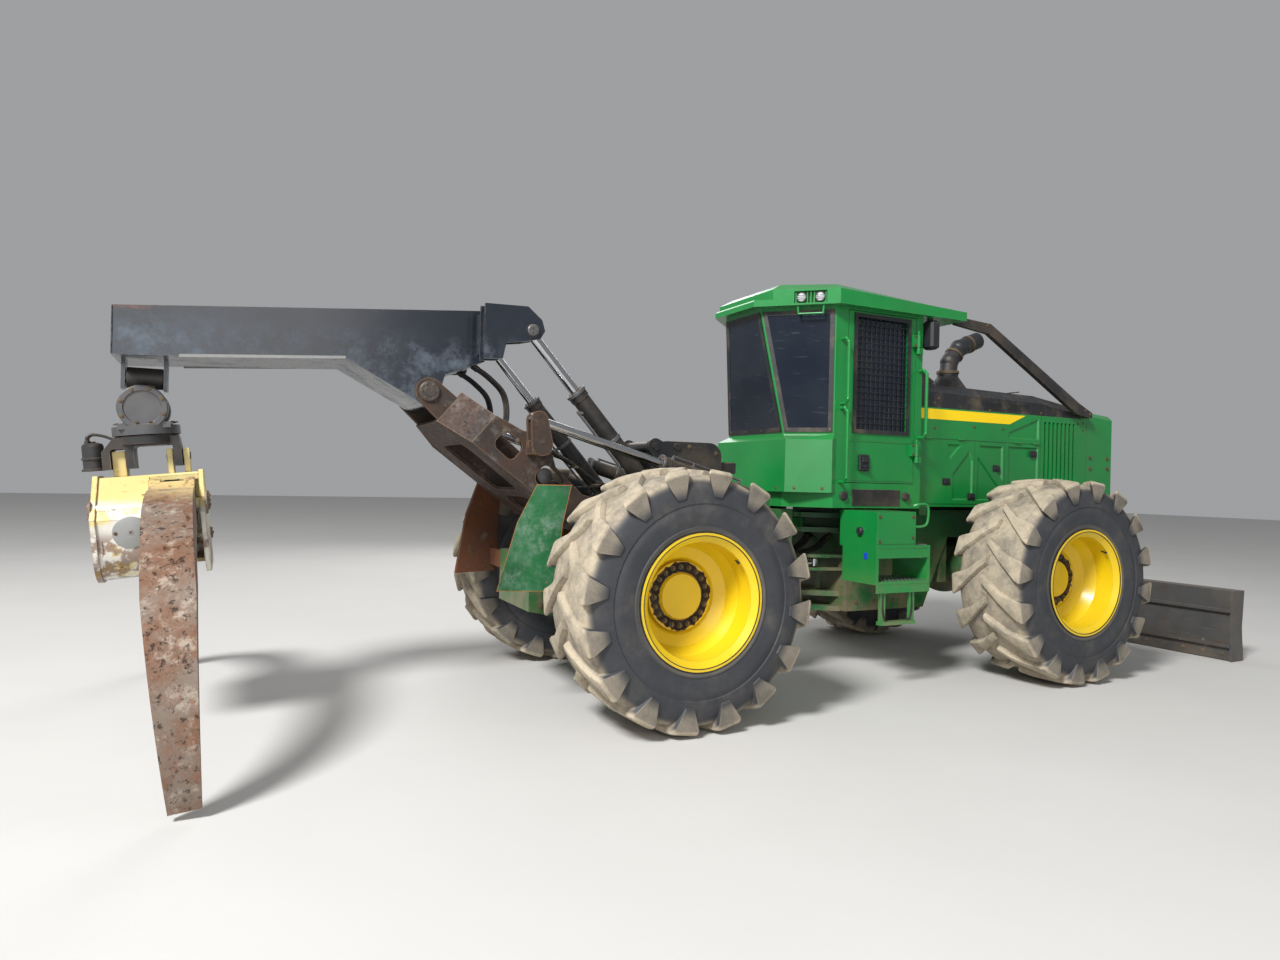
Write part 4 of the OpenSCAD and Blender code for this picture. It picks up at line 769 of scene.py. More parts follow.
def lug_ring(row, turn, wear):
    share, skew, top, half, foot, spread = row
    half *= LUG_T
    y = share * TYRE_HALF
    top -= wear
    ring = []
    for radius, across in ((foot, half * spread), (top - 18, half), (top - 4, half - 8), (top, half - 24),
                           (top, 24 - half), (top - 4, 8 - half), (top - 18, -half), (foot, -half * spread)):
        a = math.radians(turn + skew) + across / TYRE_R
        ring.append((radius * math.cos(a), y, radius * math.sin(a)))
    return ring


def dress_wheel(name, x, side):
    tyre = Piece(wheel_place(x, side))
    outline = [*TYRE_SIDE, *[(r, -y) for r, y in reversed(TYRE_SIDE)]]
    tyre.hoop((0, 0, 0), Y, outline, 96)
    rng = random.Random(7)
    step = 360 / LUGS
    for i in range(LUGS):
        for half, turn in ((1, i * step), (-1, (i + 0.5) * step)):
            wear = [rng.uniform(0, 6) for _ in LUG_ROWS]
            rings = [lug_ring(row, turn, w) for row, w in zip(LUG_ROWS, wear)]
            tyre.skin([[(a, half * b, c) for a, b, c in ring] for ring in rings])
    body = "wheel_" + name
    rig.replaces(tyre.finish("tread_" + name, TYRE_RUBBER, body), "tyre_" + name)
    crust = Piece(wheel_place(x, side))
    rings = []
    for k in range(72):
        a = k * math.tau / 72
        r_in, r_out = 163 + rng.uniform(0, 8), 243 + rng.uniform(-14, 10)
        lift = 20 + rng.uniform(0, 5)
        rings.append([(r * math.cos(a), y, r * math.sin(a)) for r, y in
                      ((r_in, 17), (r_in + 8, lift), (r_out - 8, lift), (r_out, 17))])
    crust.skin(rings, loop=True)
    crust.finish("hub_dirt_" + name, CRUST, body)
    bolts = Piece(wheel_place(x, side))
    bolts.bolt_circle((0, 21, 0), Y, 207, 20, 13.5, 20)
    bolts.finish("hub_bolts_" + name, BOLT_STEEL, body, "grey_steel")
    bead = Piece(wheel_place(x, side))
    bead.band((0, 345.5, 0), Y, 445.5, 451.5, 7, 96)
    bead.hoop((0, 0, 0), Y, [(468.5, 332), (474, 334), (474, 345), (468.5, 344)], 96)
    bead.lathe((300, 270, 265), (-0.25, 1, -0.2), [(6, -30), (6, 30), (9, 32), (9, 50)], 10)
    bead.finish("bead_seal_" + name, HOSE_RUBBER, body)


for wheel, wheel_x, wheel_side in (("rear_right", 0, -1), ("rear_left", 0, 1),
                                   ("front_right", WHEELBASE, -1), ("front_left", WHEELBASE, 1)):
    dress_wheel(wheel, wheel_x, wheel_side)


# Cylinders: bands, gland and a steel pipe along each barrel
def dress_barrel(piece, base, tip, radius, mouth, side):
    """A gland ring, two clamps and a pipe with its ports, on the side of the barrel that `side` points to."""
    base, tip = Vector(base), Vector(tip)
    ahead = (tip - base).normalized()
    side = Vector(side)
    side = (side - ahead * side.dot(ahead)).normalized()
    piece.band(base + ahead * (mouth - 12), ahead, radius + 7.5, radius + 14, 22)
    piece.bolt_circle(base + ahead * mouth, ahead, radius - 12, 8, 6, 6)
    for share in (0.36, 0.7):
        at = base + ahead * (mouth * share)
        piece.band(at, ahead, radius - 1, radius + 6, 30)
        piece.rod(at + side * radius, at + side * (radius + 34), 14, 10)
    start = base + ahead * (mouth * 0.24)
    end = base + ahead * (mouth * 0.9)
    lift = side * (radius + 26)
    piece.tube([start + side * radius * 0.9, start + lift, start + ahead * 50 + lift, end - ahead * 50 + lift,
                end + lift, end + side * radius * 0.9], 9.5, 8, 5)
    for at in (start, end):
        piece.rod(at + side * (radius - 4), at + side * (radius + 14), 20, 6)


BARRELS = [
    # name, place, base, tip, radius, mouth, pipe side, body
    ("boom_barrel_fittings", rear, (545, 520, 1205), (-887, 520, 2811), 68, 1589, (-1, 0.3, -1), "arch"),
    ("arch_barrel_fittings", rear, (1050, 720, 1597), (-880, 720, 2143), 62, 960, (0, 0.2, 1), "arch_barrels"),
    ("blade_barrel_fittings", front, (3740, 300, 1330), (4370, 300, 660), 50, 500, (1, 0, 1), "blade_barrels"),
]
for fit_name, fit_place, fit_base, fit_tip, fit_r, fit_mouth, fit_side, fit_body in BARRELS:
    fittings = Piece(fit_place)
    dress_barrel(fittings, fit_base, fit_tip, fit_r, fit_mouth, fit_side)
    fittings.both().finish(fit_name, GREY_CAST, fit_body)
for fit_sign, fit_word in SIDES.items():
    fittings = Piece(rear)
    dress_barrel(fittings, (1150, fit_sign * 250, 1005), (2000, fit_sign * 250, 1005), 42, 520, (0, -fit_sign, 0.4))
    fittings.finish("steer_barrel_fittings_" + fit_word, GREY_CAST, "steer_barrel_" + fit_word)
for fit_word, fit_place in (("right", hung), ("left", hung_far)):
    fittings = Piece(fit_place)
    dress_barrel(fittings, (133, 330, 1240), (133, -240, 1600), 50, 540, (0, 1, 1))
    fittings.finish("tong_barrel_fittings_" + fit_word, GREY_CAST, "tong_barrel_" + fit_word)


# Cab: windows, door guards, latches, lamps
LEDGE_Z, CAB_TOP_Z = 2170, 3270
PANE_Z = (2179, 3241)
CAB_HALF = 750
REAR_PANE_HALF = 440
PANE_INSET = 14


def pane_lean(z):
    """How far the rear window has leant back, and its sides inwards, at a height."""
    return 160 * (z - LEDGE_Z) / (CAB_TOP_Z - LEDGE_Z)


def back_point(y_share, z, out=0):
    """A place on the leaning rear window; y_share runs from -1 to 1 over its width."""
    lean = pane_lean(z)
    return (-460 - lean - out, y_share * (REAR_PANE_HALF - lean - PANE_INSET), z)


def slanted(x0, y0):
    """Places on an upright plane through a point, facing back and left: x along it, y outwards."""
    return lambda x, y, z: front(x0 + (x - y) * math.sqrt(0.5), y0 + (x + y) * math.sqrt(0.5), z)


corner_plane = slanted(-150, CAB_HALF)
roof_corner = slanted(-370.7, 670.7)


def corner_far(z):
    """The far end of the corner window along its plane, at a height."""
    return math.sqrt(2) * (REAR_PANE_HALF - pane_lean(z) - CAB_HALF) + PANE_INSET


def upright(x0, x1, y, z0, z1):
    """The corners of an upright oblong at one y."""
    return [(x0, y, z0), (x1, y, z0), (x1, y, z1), (x0, y, z1)]


def dress_cab():
    trim = Piece()
    z0, z1 = PANE_Z
    lift = 7.5
    trim.frame([back_point(-1, z0, lift), back_point(1, z0, lift), back_point(1, z1, lift), back_point(-1, z1, lift)],
               42, X * -2.5)
    trim.finish("rear_pane_border", BLACK_PLASTIC)
    trim = Piece(corner_plane)
    trim.frame([(corner_far(z0), lift, z0), (-14, lift, z0), (-14, lift, z1), (corner_far(z1), lift, z1)], 38, Y * 2.5)
    trim.both().finish("corner_pane_borders", BLACK_PLASTIC)
    screws = Piece()
    for y in (-0.92, -0.3, 0.3, 0.92):
        for z in (z0 + 22, z1 - 22):
            screws.bolt(back_point(y, z, 10), -X, 7)
    screws.finish("rear_pane_screws", BOLT_STEEL)
    screws = Piece(corner_plane)
    for z, far in ((z0 + 22, corner_far(z0)), (z1 - 22, corner_far(z1))):
        for x in (far + 30, far / 2, -34):
            screws.bolt((x, 10, z), Y, 7)
    screws.both().finish("corner_pane_screws", BOLT_STEEL)
    lamps = Piece(roof_corner)
    bezels = Piece(roof_corner)
    for x in (-80, 80):
        lamps.lathe((x, -15, 3338), Y, [(36, 0), (36, 4), (30, 9), (16, 12)], 24)
        bezels.band((x, -10, 3338), Y, 36.5, 42.5, 12, 24)
        for z in (3322, 3338, 3354):
            bezels.rod((x - 34, -1, z), (x + 34, -1, z), 2.2, 6)
    lamps.both().finish("corner_lamp_lenses", LENS)
    bezels.both().finish("corner_lamp_guards", BLACK_PLASTIC)
    bars = Piece(roof_corner)
    for x in (-128, -30, 0, 30, 128):
        bars.box((x - 6, -30, 3286), (x + 6, -18, 3390), 1)
    bars.both().finish("corner_lamp_bars", GREEN)
    lamps = Piece()
    for y in (420, 580):
        lamps.cap((1277, y, 3308), X, 21, 0, 4, 7, 4, 20)
    lamps.both().finish("nose_lamp_lenses", LENS)
    mirror = Piece()
    mirror.box((875, 700, 2985), (985, 835, 3245), 20)
    mirror.box((848, 700, 3150), (880, 735, 3190), 3)
    mirror.box((905, 735, 3235), (945, 775, 3271), 3)
    mirror.both().finish("front_corner_boxes", BLACK_PLASTIC)
    bolts = Piece()
    for y in (160, 440):
        bolts.bolt((-524, y, 1690), -X, 10)
    for share in (0.2, 0.8):
        bolts.bolt((-525 + 340 * share, 565 + 210 * share, 1690), (-0.525, 0.851, 0), 10)
    bolts.both().finish("skirt_bolts", BOLT_STEEL)
    low = Piece()
    low.box((60, 749, 1545), (610, 756, 1690), 2)
    for x in (-36, 675):
        low.lathe((x, 748, 1630), Y, [(42, 0), (42, 12), (34, 16), (34, 30), (20, 34)], 24)
    low.both().finish("sill_panels", BLACK_PAINT)


def dress_door(side):
    word = SIDES[side]
    body = "door_" + word
    y = side * CAB_HALF
    corners = upright(47, 698, y + side * 0.5, 2182, 3233)
    Piece().frame(corners, 34, Y * side * 12).finish("door_window_frame_" + word, BLACK_PLASTIC, body)
    Piece().box((66, side * 712, 2201), (679, side * 718, 3214), 1).finish("door_pane_" + word, GLASS, body)
    guard = Piece()
    for i in range(1, 11):
        x = 81 + i * (664 - 81) / 11
        guard.rod((x, side * 754.5, 2190), (x, side * 754.5, 3226), 2.8, 6)
    for i in range(1, 18):
        z = 2216 + i * (3199 - 2216) / 18
        guard.rod((55, side * 760, z), (690, side * 760, z), 2.8, 6)
    guard.finish("door_guard_" + word, MESH_BAR, body)
    latch = Piece()
    latch.box((120, side * 749, 1850), (232, side * 776, 1995), 10)
    latch.box((140, side * 776, 1925), (212, side * 790, 1975), 5)
    latch.tube([(150, side * 776, 1885), (150, side * 806, 1890), (202, side * 806, 1890), (202, side * 776, 1885)], 6,
               8, 4)
    latch.finish("door_latch_" + word, BLACK_PLASTIC, body)
    seal = Piece()
    seal.frame(upright(8, 747, y + side * 0.3, 1768, 2120), 8, Y * side * 4)
    seal.finish("door_press_line_" + word, GREEN, body)
    screws = Piece()
    for z in (2050, 3040):
        for dz in (-36, 44):
            screws.bolt((728, side * 784.2, z + dz), Y * side, 9)
    screws.finish("door_hinge_screws_" + word, BOLT_STEEL, body)


dress_cab()
for door_side in SIDES:
    dress_door(door_side)


# Inside the cab: a padded seat between two consoles
def cushion(name, at, size, lean, crown, channels, fill):
    """A crowned closed form with sewn channels across it; size is its half extents, lean tips it back."""
    bm = bmesh.new()
    bmesh.ops.create_cube(bm, size=2.0)
    bmesh.ops.subdivide_edges(bm, edges=bm.edges[:], cuts=17, use_grid_fill=True)
    turn = Matrix.Rotation(lean, 3, "Y")
    for v in bm.verts:
        x, y, z = v.co
        puff = (1 - x ** 4) * (1 - y ** 4)
        x1 = x * (1 - 0.16 * abs(z) ** 3) * (1 - 0.05 * y * y)
        y1 = y * (1 - 0.16 * abs(z) ** 3) * (1 - 0.05 * x * x)
        z1 = z * (0.62 + crown * puff)
        for c in channels:
            z1 -= math.copysign(0.16, z) * abs(z) * math.exp(-((x - c) / 0.05) ** 2)
        z1 -= 0.1 * math.copysign(1, z) * math.exp(-((abs(y) - 0.62) / 0.05) ** 2) * abs(z)
        v.co = front(*at) + turn @ Vector((x1 * size[0], y1 * size[1], z1 * size[2])) / 1000
    mesh = bpy.data.meshes.new(name)
    bm.to_mesh(mesh)
    bm.free()
    mesh.polygons.foreach_set("use_smooth", [True] * len(mesh.polygons))
    mesh.materials.append(SEAT_BLACK)
    made = add_object(name, mesh)
    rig.ride(made, "front")
    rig.slot(made, "seat")
    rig.padded(made, fill)
    return made


def furnish_cab():
    base = Piece()
    base.box((150, -215, 1586), (510, 215, 1640), 8)
    for i in range(6):
        z = 1640 + i * 33
        base.box((165 + 8 * (i % 2), -195, z), (495 - 8 * (i % 2), 195, z + 33), 10)
    base.box((100, -240, 1838), (560, 240, 1862), 6)
    made = base.finish("seat_suspension", BLACK_PLASTIC, "front", "seat")
    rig.replaces(made, "cab_inside")
    cushion("seat_cushion", (335, 0, 1925), (262, 262, 75), math.radians(-4), 0.38, (-0.35, 0.35), 0.75)
    cushion("seat_back", (118, 0, 2270), (285, 240, 68), math.radians(-82), 0.38, (-0.5, 0.0, 0.5), 0.7)
    cushion("seat_headrest", (82, 0, 2600), (80, 140, 50), math.radians(-82), 0.38, (), 0.7)
    desks = Piece()
    desks.box((130, 305, 1586), (560, 415, 2060), 20)
    desks.box((125, 302, 2060), (635, 418, 2110), 20)
    desks.box((150, 310, 2110), (420, 410, 2160), 22)
    desks.both().finish("side_consoles", BLACK_PLASTIC)
    sticks = Piece()
    sticks.lathe((530, 360, 2108), (0.05, 0, 1), [(40, 0), (34, 12), (14, 34), (9, 50), (9, 95), (22, 115), (27, 165),
                                                  (24, 200), (12, 212)], 20)
    for k in range(3):
        sticks.cap((575, 335 + 25 * k, 2109), Z, 8, 0, 6, 2, 2, 12)
    sticks.both().finish("joysticks", HOSE_RUBBER, "front", "black_plastic")
    screen = Piece()
    screen.box((700, -620, 2620), (735, -440, 2760), 8)
    screen.rod((715, -530, 2540), (715, -530, 2625), 12, 12)
    screen.box((690, -560, 2500), (740, -500, 2542), 6)
    screen.rod((715, -530, 1586), (715, -530, 2505), 16, 12)
    screen.finish("cab_screen", BLACK_PLASTIC)
    mat = Piece()
    mat.box((-300, -560, 1585.5), (760, 560, 1592), 2)
    for i in range(16):
        x = 50 * i - 20
        mat.box((x, -540, 1592), (x + 18, -430, 1595), 1)
        mat.box((x, 430, 1592), (x + 18, 540, 1595), 1)
    mat.finish("floor_mat", HOSE_RUBBER)


furnish_cab()


# Hood, nose, exhaust, steps and risers
HOOD_HALF = 640


def dress_hood():
    stripe = Piece()
    y = HOOD_HALF + 0.4
    stripe.slab([(856, y, 2365), (2131, y, 2365), (2359, y, 2461), (856, y, 2461)], Y * 1.6)
    stripe.both().finish("hood_stripe", STRIPE)
    slots = Piece()
    frames = Piece()
    for x0, x1, z0, z1 in ((1780, 2000, 2515, 2553), (2125, 2385, 2525, 2563)):
        slots.box((x0, y - 2, z0), (x1, y + 1, z1), 1)
        frames.frame(upright(x0 - 12, x1 + 12, y, z0 - 10, z1 + 10), 10, Y * 4)
    slots.both().finish("hood_slots", MESH_BLACK)
    frames.both().finish("hood_slot_frames", BLACK_PLASTIC)
    latches = Piece()
    for x, z in ((1958, 1922), (1290, 1778), (1620, 1640), (2480, 2080)):
        latches.box((x - 50, y, z - 32), (x + 50, y + 6, z + 32), 6)
        latches.box((x - 34, y + 6, z - 18), (x + 26, y + 14, z + 18), 4)
        latches.cap((x + 36, y + 5, z), Y, 8, 0, 5, 2, 2, 12)
    latches.both().finish("hood_latches", BLACK_PLASTIC)
    bolts = Piece()
    bolts.side_bolts(y, 10, ((1177, 2561), (1127, 2516), (1856, 2486), (1650, 2316), (2042, 2315), (1128, 2281),
                             (2586, 2500), (3150, 2420), (3150, 1620), (900, 1600), (900, 2130)))
    bolts.side_bolts(y, 16, ((3358, 2070), (3635, 2068), (3361, 1954), (3638, 1961)))
    bolts.side_bolts(y, 8, ((3235, 2432), (3235, 2353)))
    bolts.both().finish("hood_bolts", BOLT_STEEL)
    hinge = Piece()
    for x in (1050, 1480, 2250, 2520):
        hinge.box((x - 45, y, 2190), (x + 45, y + 5, 2216), 2)
        hinge.rod((x - 45, y + 7, 2184), (x + 45, y + 7, 2184), 7, 10)
    hinge.both().finish("hood_hinges", GREEN)
    mesh = Piece()
    for i in range(27):
        z = 1640 + i * 29.5
        mesh.rod((3596, -545, z), (3596, 545, z), 3.5, 6)
    mesh.box((3583, -549, 1622), (3590, 549, 2428), 1)
    mesh.finish("nose_core", MESH_BLACK)
    rim = Piece()
    rim.frame([(3699.5, -575, 1595), (3699.5, 575, 1595), (3699.5, 575, 2455), (3699.5, -575, 2455)], 24, X * 4)
    rim.finish("nose_border", GREEN)
    ribs = Piece()
    for x in (1200, 1420, 2420):
        ribs.box((x, -500, 2713.5), (x + 18, 500, 2722), 2)
    ribs.finish("hood_top_ribs", BLACK_PLASTIC)
    pipe = Piece()
    pipe.band((1950, 0, 2930), Z, 105.5, 113, 30)
    pipe.band((2035, 0, 3125), (0.65, 0, 0.75), 89.5, 98, 28)
    pipe.band((2235, 0, 3255), (0.926, 0, 0.377), 88.5, 96, 28)
    for sign in (-1, 1):
        pipe.box((1940, sign * 108, 2915), (1960, sign * 135, 2945), 2)
    pipe.bolt_circle((1950, 0, 2725.5), Z, 225, 10, 9)
    pipe.finish("exhaust_clamps", BOLT_STEEL)
    ticks = Piece()
    ticks.side_bolts(725.5, 12, ((1330, 3303), (1700, 3290), (3150, 2555), (3225, 2520)))
    ticks.both().finish("riser_bolts", BOLT_STEEL)


def dress_steps():
    y = 1150
    plate = Piece()
    plate.box((-6, y, 1240), (416, y + 5, 1500), 2)
    plate.box((-6, y - 1, 1120), (586, y + 5, 1198), 2)
    plate.box((-6, y - 1, 830), (586, y + 5, 898), 2)
    plate.both().finish("step_plates", GREEN)
    bolts = Piece()
    bolts.side_bolts(y + 5, 11, ((22, 1466), (385, 1467), (385, 1290), (22, 1262)))
    bolts.both().finish("step_bolts", BOLT_STEEL)
    teeth = Piece()
    for start, step, z in ((440, 12, 1225), (40, 46, 925)):
        for i in range(12):
            x = start + i * step
            for j in range(6):
                tooth_y = 790 + j * 60
                teeth.box((x, tooth_y, z - 1), (x + 8, tooth_y + 30, z + 7), 1)
    teeth.both().finish("tread_teeth", TREAD_STEEL)
    loop = Piece()
    loop.tube([(400, y - 10, 1560), (440, y + 20, 1575), (515, y + 25, 1570), (535, y + 25, 1500), (520, y + 22, 1410),
               (470, y + 10, 1385), (410, y - 10, 1385)], 11, 10, 6)
    loop.both().finish("step_handles", GREEN)
    Piece().cap((-10, 959, 1338), -X, 34, -2, 24, 8, 6, 20).both().finish("step_lamps", BLACK_PLASTIC)
    Piece().box((-14, 1005, 1105), (-9.5, 1050, 1160), 2).both().finish("step_reflectors", BLUE_PLASTIC)
    strap = Piece()
    strap.tube([(100, 1120, 905), (90, 1128, 700), (130, 1130, 590), (250, 1130, 572),
                (370, 1130, 590), (410, 1128, 700), (400, 1120, 905)], 10, 10, 6)
    strap.both().finish("step_straps", HOSE_RUBBER)


dress_hood()
dress_steps()


# Boom, arch and winch
def dress_boom():
    # A thin pale steel strip along the lower edge of each side of the boom: a painted highlight where the bottom
    # flange's edge catches the light, not a part of the boom.
    flange_highlight = Piece(rear)
    y = 330.3
    flange_highlight.slab([(-3180, y, 2452), (-2160, y, 2527), (-2160, y, 2547), (-3180, y, 2472)], Y * 4)
    flange_highlight.both().finish("boom_flange_highlights", PALE_STEEL, "boom")
    weld = Piece(rear)
    weld.tube([(-1200, y, 2972), (-1195, y + 1, 2780), (-1176, y, 2600)], 7, 8, 8)
    weld.tube([(-3552, y - 2, 2745), (-3552, y, 2600), (-3552, y - 2, 2446)], 5, 8, 6)
    weld.both().finish("boom_welds", BOOM_BLUE, "boom")
    caps = Piece(rear)
    caps.cap((-887, 605, 2811), Y, 44, -4, 8, 8, 6)
    caps.bolt_circle((-887, 619, 2811), Y, 20, 3, 6)
    caps.both().finish("boom_pin_covers", GREY_CAST, "boom")
    hub = Piece(rear)
    hub.lathe((-1585, 375.5, 2335), Y, [(74, 0), (74, 12), (66, 18), (40, 18), (36, 24)], 28)
    hub.bolt_circle((-1585, 393, 2335), Y, 54, 6, 8)
    hub.both().finish("boom_pivot_caps", DARK_CAST, "arch", "rusty_steel")
    Piece(rear).band((-3290, 0, 2330), X, 36, 60, 18, 24).finish("hang_pin_collar", GREY_CAST, "boom")


def dress_arch():
    lids = Piece(rear)
    lids.cap((-775, 600, 1741), Y, 60, -20, 10, 10, 6)
    lids.box((-860, 570, 1725), (-700, 584, 1757), 3)
    lids.both().finish("arch_covers", GREY_CAST, "arch")
    bolts = Piece(rear)
    for i in range(6):
        t = i / 5
        bolts.bolt((-1090 + 470 * t, 640.3, 2060 - 420 * t + 30 * math.sin(math.pi * t)), Y, 13)
    bolts.cap((545, 659.5, 1205), Y, 62, -6, 10, 10, 6)
    bolts.bolt_circle((545, 675, 1205), Y, 36, 4, 10)
    bolts.both().finish("arch_bolts", BOLT_STEEL, "arch")
    welds = Piece(rear)
    for sign in (-1, 1):
        welds.tube([(-1166, sign * 600, 2163), (-955, sign * 600, 1990), (-705, sign * 600, 1800),
                    (-500, sign * 600, 1605)], 8, 8, 6)
    welds.finish("arch_welds", ARCH_RUST, "arch")


def add_hoses():
    """Hose bundles that cross a joint bend with it; both their ends are held."""
    def bundle(name, place, runs, r, a, b, start, end):
        hoses = Piece(place)
        for run_points in runs:
            hoses.tube(run_points, r, 8, 6)
            for at, ahead in ((run_points[0], run_points[1]), (run_points[-1], run_points[-2])):
                at, ahead = Vector(at), Vector(ahead)
                way = (ahead - at).normalized()
                hoses.rod(at - way * 2, at + way * 50, r * 1.28, 8)
        made = hoses.finish(name, HOSE_RUBBER, None)
        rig.blend(made, a, b, place(*start), place(*end))

    bundle("middle_joint_hoses", front,
           [[(-299, y, 1190 + 0.4 * abs(y)), (-170, y, 1130), (0, y * 0.9, 1085), (170, y, 1130),
             (299, y, 1190 + 0.4 * abs(y))] for y in (-170, -130, -90, 90, 130, 170)],
           13, "front", "rear", (250, 0, 1100), (-250, 0, 1100))
    bundle("arch_hoses", rear,
           [[(420, s * (290 + 30 * k), 1502), (330, s * (300 + 30 * k), 1620),
             (130, s * (420 + 28 * k), 1660), (-120, s * (510 + 26 * k), 1640),
             (-330, s * (500 + 24 * k), 1700)] for s in (-1, 1) for k in range(3)],
           12, "rear", "arch", (400, 0, 1550), (-150, 0, 1640))
    bundle("boom_hoses", rear,
           [[(-1020, y, 2045), (-960, y, 2180), (-985, y, 2360), (-1100, y, 2480), (-1230, y, 2562)]
            for y in (-260, -220, -180, 180, 220, 260)],
           12, "arch", "boom", (-1020, 0, 2100), (-1200, 0, 2520))
    runs = Piece(rear)
    for s in (-1, 1):
        for k in range(3):
            y = s * (500 + 24 * k)
            runs.tube([(-330, y, 1700), (-520, y, 1830), (-760, s * (470 + 20 * k), 1960),
                       (-920, s * (300 + 20 * k), 2010), (-1020, s * (220 + 20 * k), 2045)], 12, 8, 6)
    runs.finish("arch_hose_runs", HOSE_RUBBER, "arch")
    clips = Piece(rear)
    for s in (-1, 1):
        clips.box((-535, s * 480, 1805), (-505, s * 612, 1822), 2)
        clips.box((-350, s * 480, 1678), (-320, s * 612, 1690), 2)
    clips.finish("hose_clips", BOLT_STEEL, "arch")


def dress_winch():
    rope = Piece(rear)
    turns, r_coil = 20, 98.5
    points = []
    for i in range(turns * 24 + 1):
        a = i / 24 * math.tau
        points.append(Vector((560 + r_coil * math.cos(a), -200 + 400 * i / (turns * 24), 1790 + r_coil * math.sin(a))))
    rope.tube(points, 9.5, 6, 1)
    rope.finish("winch_rope", WINCH_STEEL, "winch_drum")
    ends = Piece(rear)
    ends.cap((560, 285.5, 1790), Y, 52, -4, 10, 8, 6)
    ends.bolt_circle((560, 301, 1790), Y, 30, 4, 8)
    ends.both().finish("winch_end_caps", WINCH_STEEL, "winch_drum")
    box = Piece(rear)
    box.box((940, -240, 1800), (1140, -90, 1900), 8)
    box.box((940, 90, 1720), (1110, 240, 1900), 8)
    for y in (-165, 165):
        box.tube([(1050, y, 1802), (1070, y, 1700), (1040, y * 0.8, 1580), (980, y * 0.8, 1501)], 14, 8, 6)
    box.finish("winch_valves", BLACK_PAINT, "rear")
    bolts = Piece(rear)
    bolts.side_bolts(280.3, 13, ((350, 1560), (900, 1560), (905, 1970), (380, 1900), (640, 2020)))
    bolts.both().finish("winch_bolts", BOLT_STEEL, "rear")


# Outer faces of the frame rails, with a hair of room for the bolts' washers
REAR_RAIL_Y = 385.3
FRONT_RAIL_Y = 420.3


def dress_frames():
    bolts = Piece(rear)
    bolts.side_bolts(REAR_RAIL_Y, 16, [(x, 740) for x in (-700, -520)])
    bolts.side_bolts(REAR_RAIL_Y, 16, [(x, z) for x in (300, 480, 900, 1100, 1300) for z in (740, 1040)])
    bolts.bolt_circle((0, REAR_RAIL_Y + 15, TYRE_R), Y, 212, 12, 12, start=0.2)
    bolts.both().finish("rear_frame_bolts", BOLT_STEEL, "rear")
    bolts = Piece()
    bolts.side_bolts(FRONT_RAIL_Y, 16, [(x, z) for x in (420, 640, 860, 1080) for z in (640, 1420)])
    bolts.side_bolts(FRONT_RAIL_Y, 16, [(x, 1400) for x in (2800, 3050, 3500)])
    bolts.both().finish("front_frame_bolts", BOLT_STEEL)
    for body, x, inner in (("front_axle", WHEELBASE, 560), ("rear", 0, 470)):
        axle = Piece(rear)
        for y, r in ((inner, 177), (860, 152)):
            axle.band((x, y, TYRE_R), Y, r, r + 30, 36)
            axle.bolt_circle((x, y + 18, TYRE_R), Y, r + 18, 14, 8)
        axle.both().finish("axle_flanges_" + body, FRAME_GREEN, body)


def dress_blade():
    bolts = Piece()
    for i in range(15):
        bolts.bolt((4439.7, -1400 + 200 * i, 70), -X, 14)
    bolts.finish("blade_edge_bolts", BOLT_STEEL, "blade")
    Piece().cap((3290, 490.2, 900), Y, 36, -6, 8, 6, 4, 20).both().finish("blade_pin_caps", GREY_CAST, "blade")


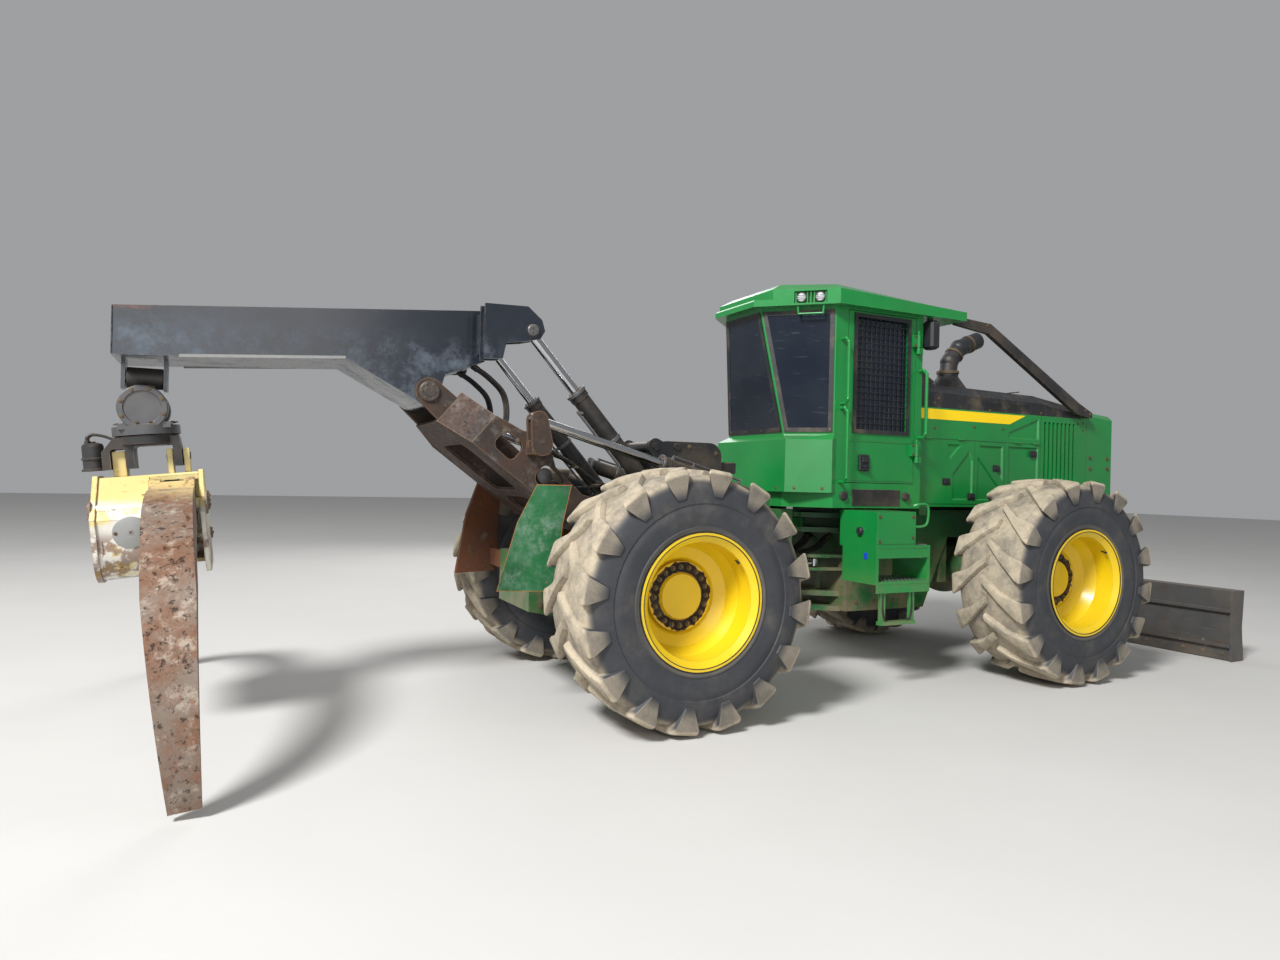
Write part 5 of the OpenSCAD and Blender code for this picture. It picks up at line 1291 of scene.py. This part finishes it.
# Grapple: covers, motor, bolts and pins
def dress_grapple():
    cover = Piece(hung)
    y = 170
    cover.lathe((0, y, SNUBBER_Z), Y, [(146, -2), (146, 8), (140, 13), (112, 13), (106, 5)], 40)
    cover.both().finish("snubber_covers", GREY_CAST, "snubber")
    bolts = Piece(hung)
    bolts.bolt_circle((0, y + 12, SNUBBER_Z), Y, 128, 8, 10, start=0.4)
    bolts.both()
    bolts.bolt_circle((0, 0, 2028), Z, 178, 14, 10)
    bolts.finish("snubber_bolts", BOLT_STEEL, "snubber")
    for word, place in (("near", hung), ("far", hung_far)):
        lid = Piece(place)
        lid.cap((-105, -475.5, 1340), -Y, 98, 0, 6, 6, 3, 40)
        lid.box((-118, -483.5, 1327), (-92, -487, 1353), 2)
        lid.finish("head_cover_" + word, PALE_STEEL, "grapple", "grey_steel")
        screws = Piece(place)
        for x in (-185, -25):
            screws.bolt((x, -484.5, 1340), -Y, 8)
        screws.box((-112, -486.2, 1333), (-98, -488.5, 1347), 1)
        screws.finish("head_cover_bolts_" + word, CRUST, "grapple")
        seams = Piece(place)
        for x in (-262, -30):
            seams.tube([(x, -476.5, 1300), (x, -476.5, 1240), (x, -452, 1160), (x, -405, 1090)], 6, 6, 5)
        seams.finish("head_welds_" + word, CREAM, "grapple")
        pins = Piece(place)
        for x, out in ((-315, -1), (315, 1)):
            pins.cap((x, -360, 1475), (out, 0, 0), 68, -4, 10, 8, 4, 28)
            pins.bolt_circle((x + out * 13, -360, 1475), (out, 0, 0), 40, 3, 10)
        pins.cap((315, 330, 1240), X, 40, -4, 10, 6, 4)
        pins.bolt((328, 330, 1240), X, 11)
        pins.finish("head_pins_" + word, TONG_STEEL, "grapple")
    motor = Piece(hung)
    motor.band((-315, 0, 1742), Z, 61.5, 72, 16)
    motor.band((-315, 0, 1815), Z, 61.5, 70, 14)
    motor.lathe((-315, 0, 1899), Z, [(58, 0), (58, 10), (46, 16), (22, 16), (20, 28)], 28)
    motor.bolt_circle((-315, 0, 1914), Z, 38, 5, 7)
    for yy in (-35, 35):
        motor.rod((-340, yy, 1905), (-340, yy, 1934), 14, 6)
        motor.tube([(-340, yy, 1928), (-336, yy, 1958), (-305, yy * 0.9, 1972), (-245, yy * 0.8, 1958),
                    (-188, yy * 0.8, 1930)], 9, 8, 5)
    motor.finish("rotator_motor_fittings", DARK_CAST, "grapple", "barrel_black")


dress_boom()
dress_arch()
add_hoses()
dress_winch()
dress_frames()
dress_blade()
dress_grapple()


# ---------------------------------------------------------------- camera, light and floor
CAMERA_AT = rear(-2885, -6491, 1724)
YAW, PITCH, ROLL = math.radians(26.24), math.radians(0.03), math.radians(1.3)
FOCAL_PX = 837.2
IMAGE_W = 1280
SENSOR_MM = 36.0
FLOOR_HALF = 60.0


def place_camera():
    ahead = Vector((math.sin(YAW) * math.cos(PITCH), math.cos(YAW) * math.cos(PITCH), math.sin(PITCH)))
    level = Vector((math.cos(YAW), -math.sin(YAW), 0))
    over = level.cross(ahead)
    right = level * math.cos(ROLL) + over * math.sin(ROLL)
    up = -level * math.sin(ROLL) + over * math.cos(ROLL)
    data = bpy.data.cameras.new("camera")
    data.sensor_width = SENSOR_MM
    data.sensor_fit = "HORIZONTAL"
    data.lens = SENSOR_MM * FOCAL_PX / IMAGE_W
    data.clip_end = 200
    camera = add_object("camera", data)
    turn = Matrix((right, up, -ahead)).transposed().to_4x4()
    camera.matrix_world = Matrix.Translation(CAMERA_AT) @ turn
    bpy.context.scene.camera = camera


# name, place, what it looks at, diameter, watts
LIGHTS = [("key", (-17, -10.5, 18), (0, 0, 1.2), 5.5, 9200), ("fill", (-5, -13, 5), (0, 0, 1.2), 8.0, 320),
          ("back", (2, 11, 8), (0, 0, 1.5), 8.0, 500)]


def add_light(name, at, target, size, power):
    data = bpy.data.lights.new(name, "AREA")
    data.shape = "DISK"
    data.size = size
    data.energy = power
    lamp = add_object(name, data)
    lamp.location = at
    lamp.rotation_euler = (Vector(target) - Vector(at)).to_track_quat("-Z", "Y").to_euler()


def set_stage():
    g = Graph("pale_floor")
    tone = g.noise(0.6, 4)
    floor_material = g.finish(g.mix(tone, (0.52, 0.51, 0.49, 1), (0.58, 0.57, 0.55, 1)), 0.85, 0.0,
                              g.noise(60, 6), 0.0005)
    mesh = bpy.data.meshes.new("floor")
    mesh.from_pydata([(x * FLOOR_HALF, y * FLOOR_HALF, 0) for x, y in ((-1, -1), (1, -1), (1, 1), (-1, 1))], [],
                     [(0, 1, 2, 3)])
    floor = add_object("floor", mesh)
    mesh.materials.append(floor_material)
    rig.stage(floor)
    world = bpy.data.worlds.new("studio")
    bpy.context.scene.world = world
    world.use_nodes = True
    tint, strength = world.node_tree.nodes["Background"].inputs[:2]
    tint.default_value = (0.95, 0.97, 1.0, 1)
    strength.default_value = 0.36
    for light in LIGHTS:
        add_light(*light)
    bpy.context.scene.view_settings.view_transform = "Standard"


place_camera()
set_stage()

bounds_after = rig.bounds()
with open("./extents.json", "w") as size_file:
    json.dump({"before": [list(v) for v in BOUNDS_BEFORE], "after": [list(v) for v in bounds_after]}, size_file)
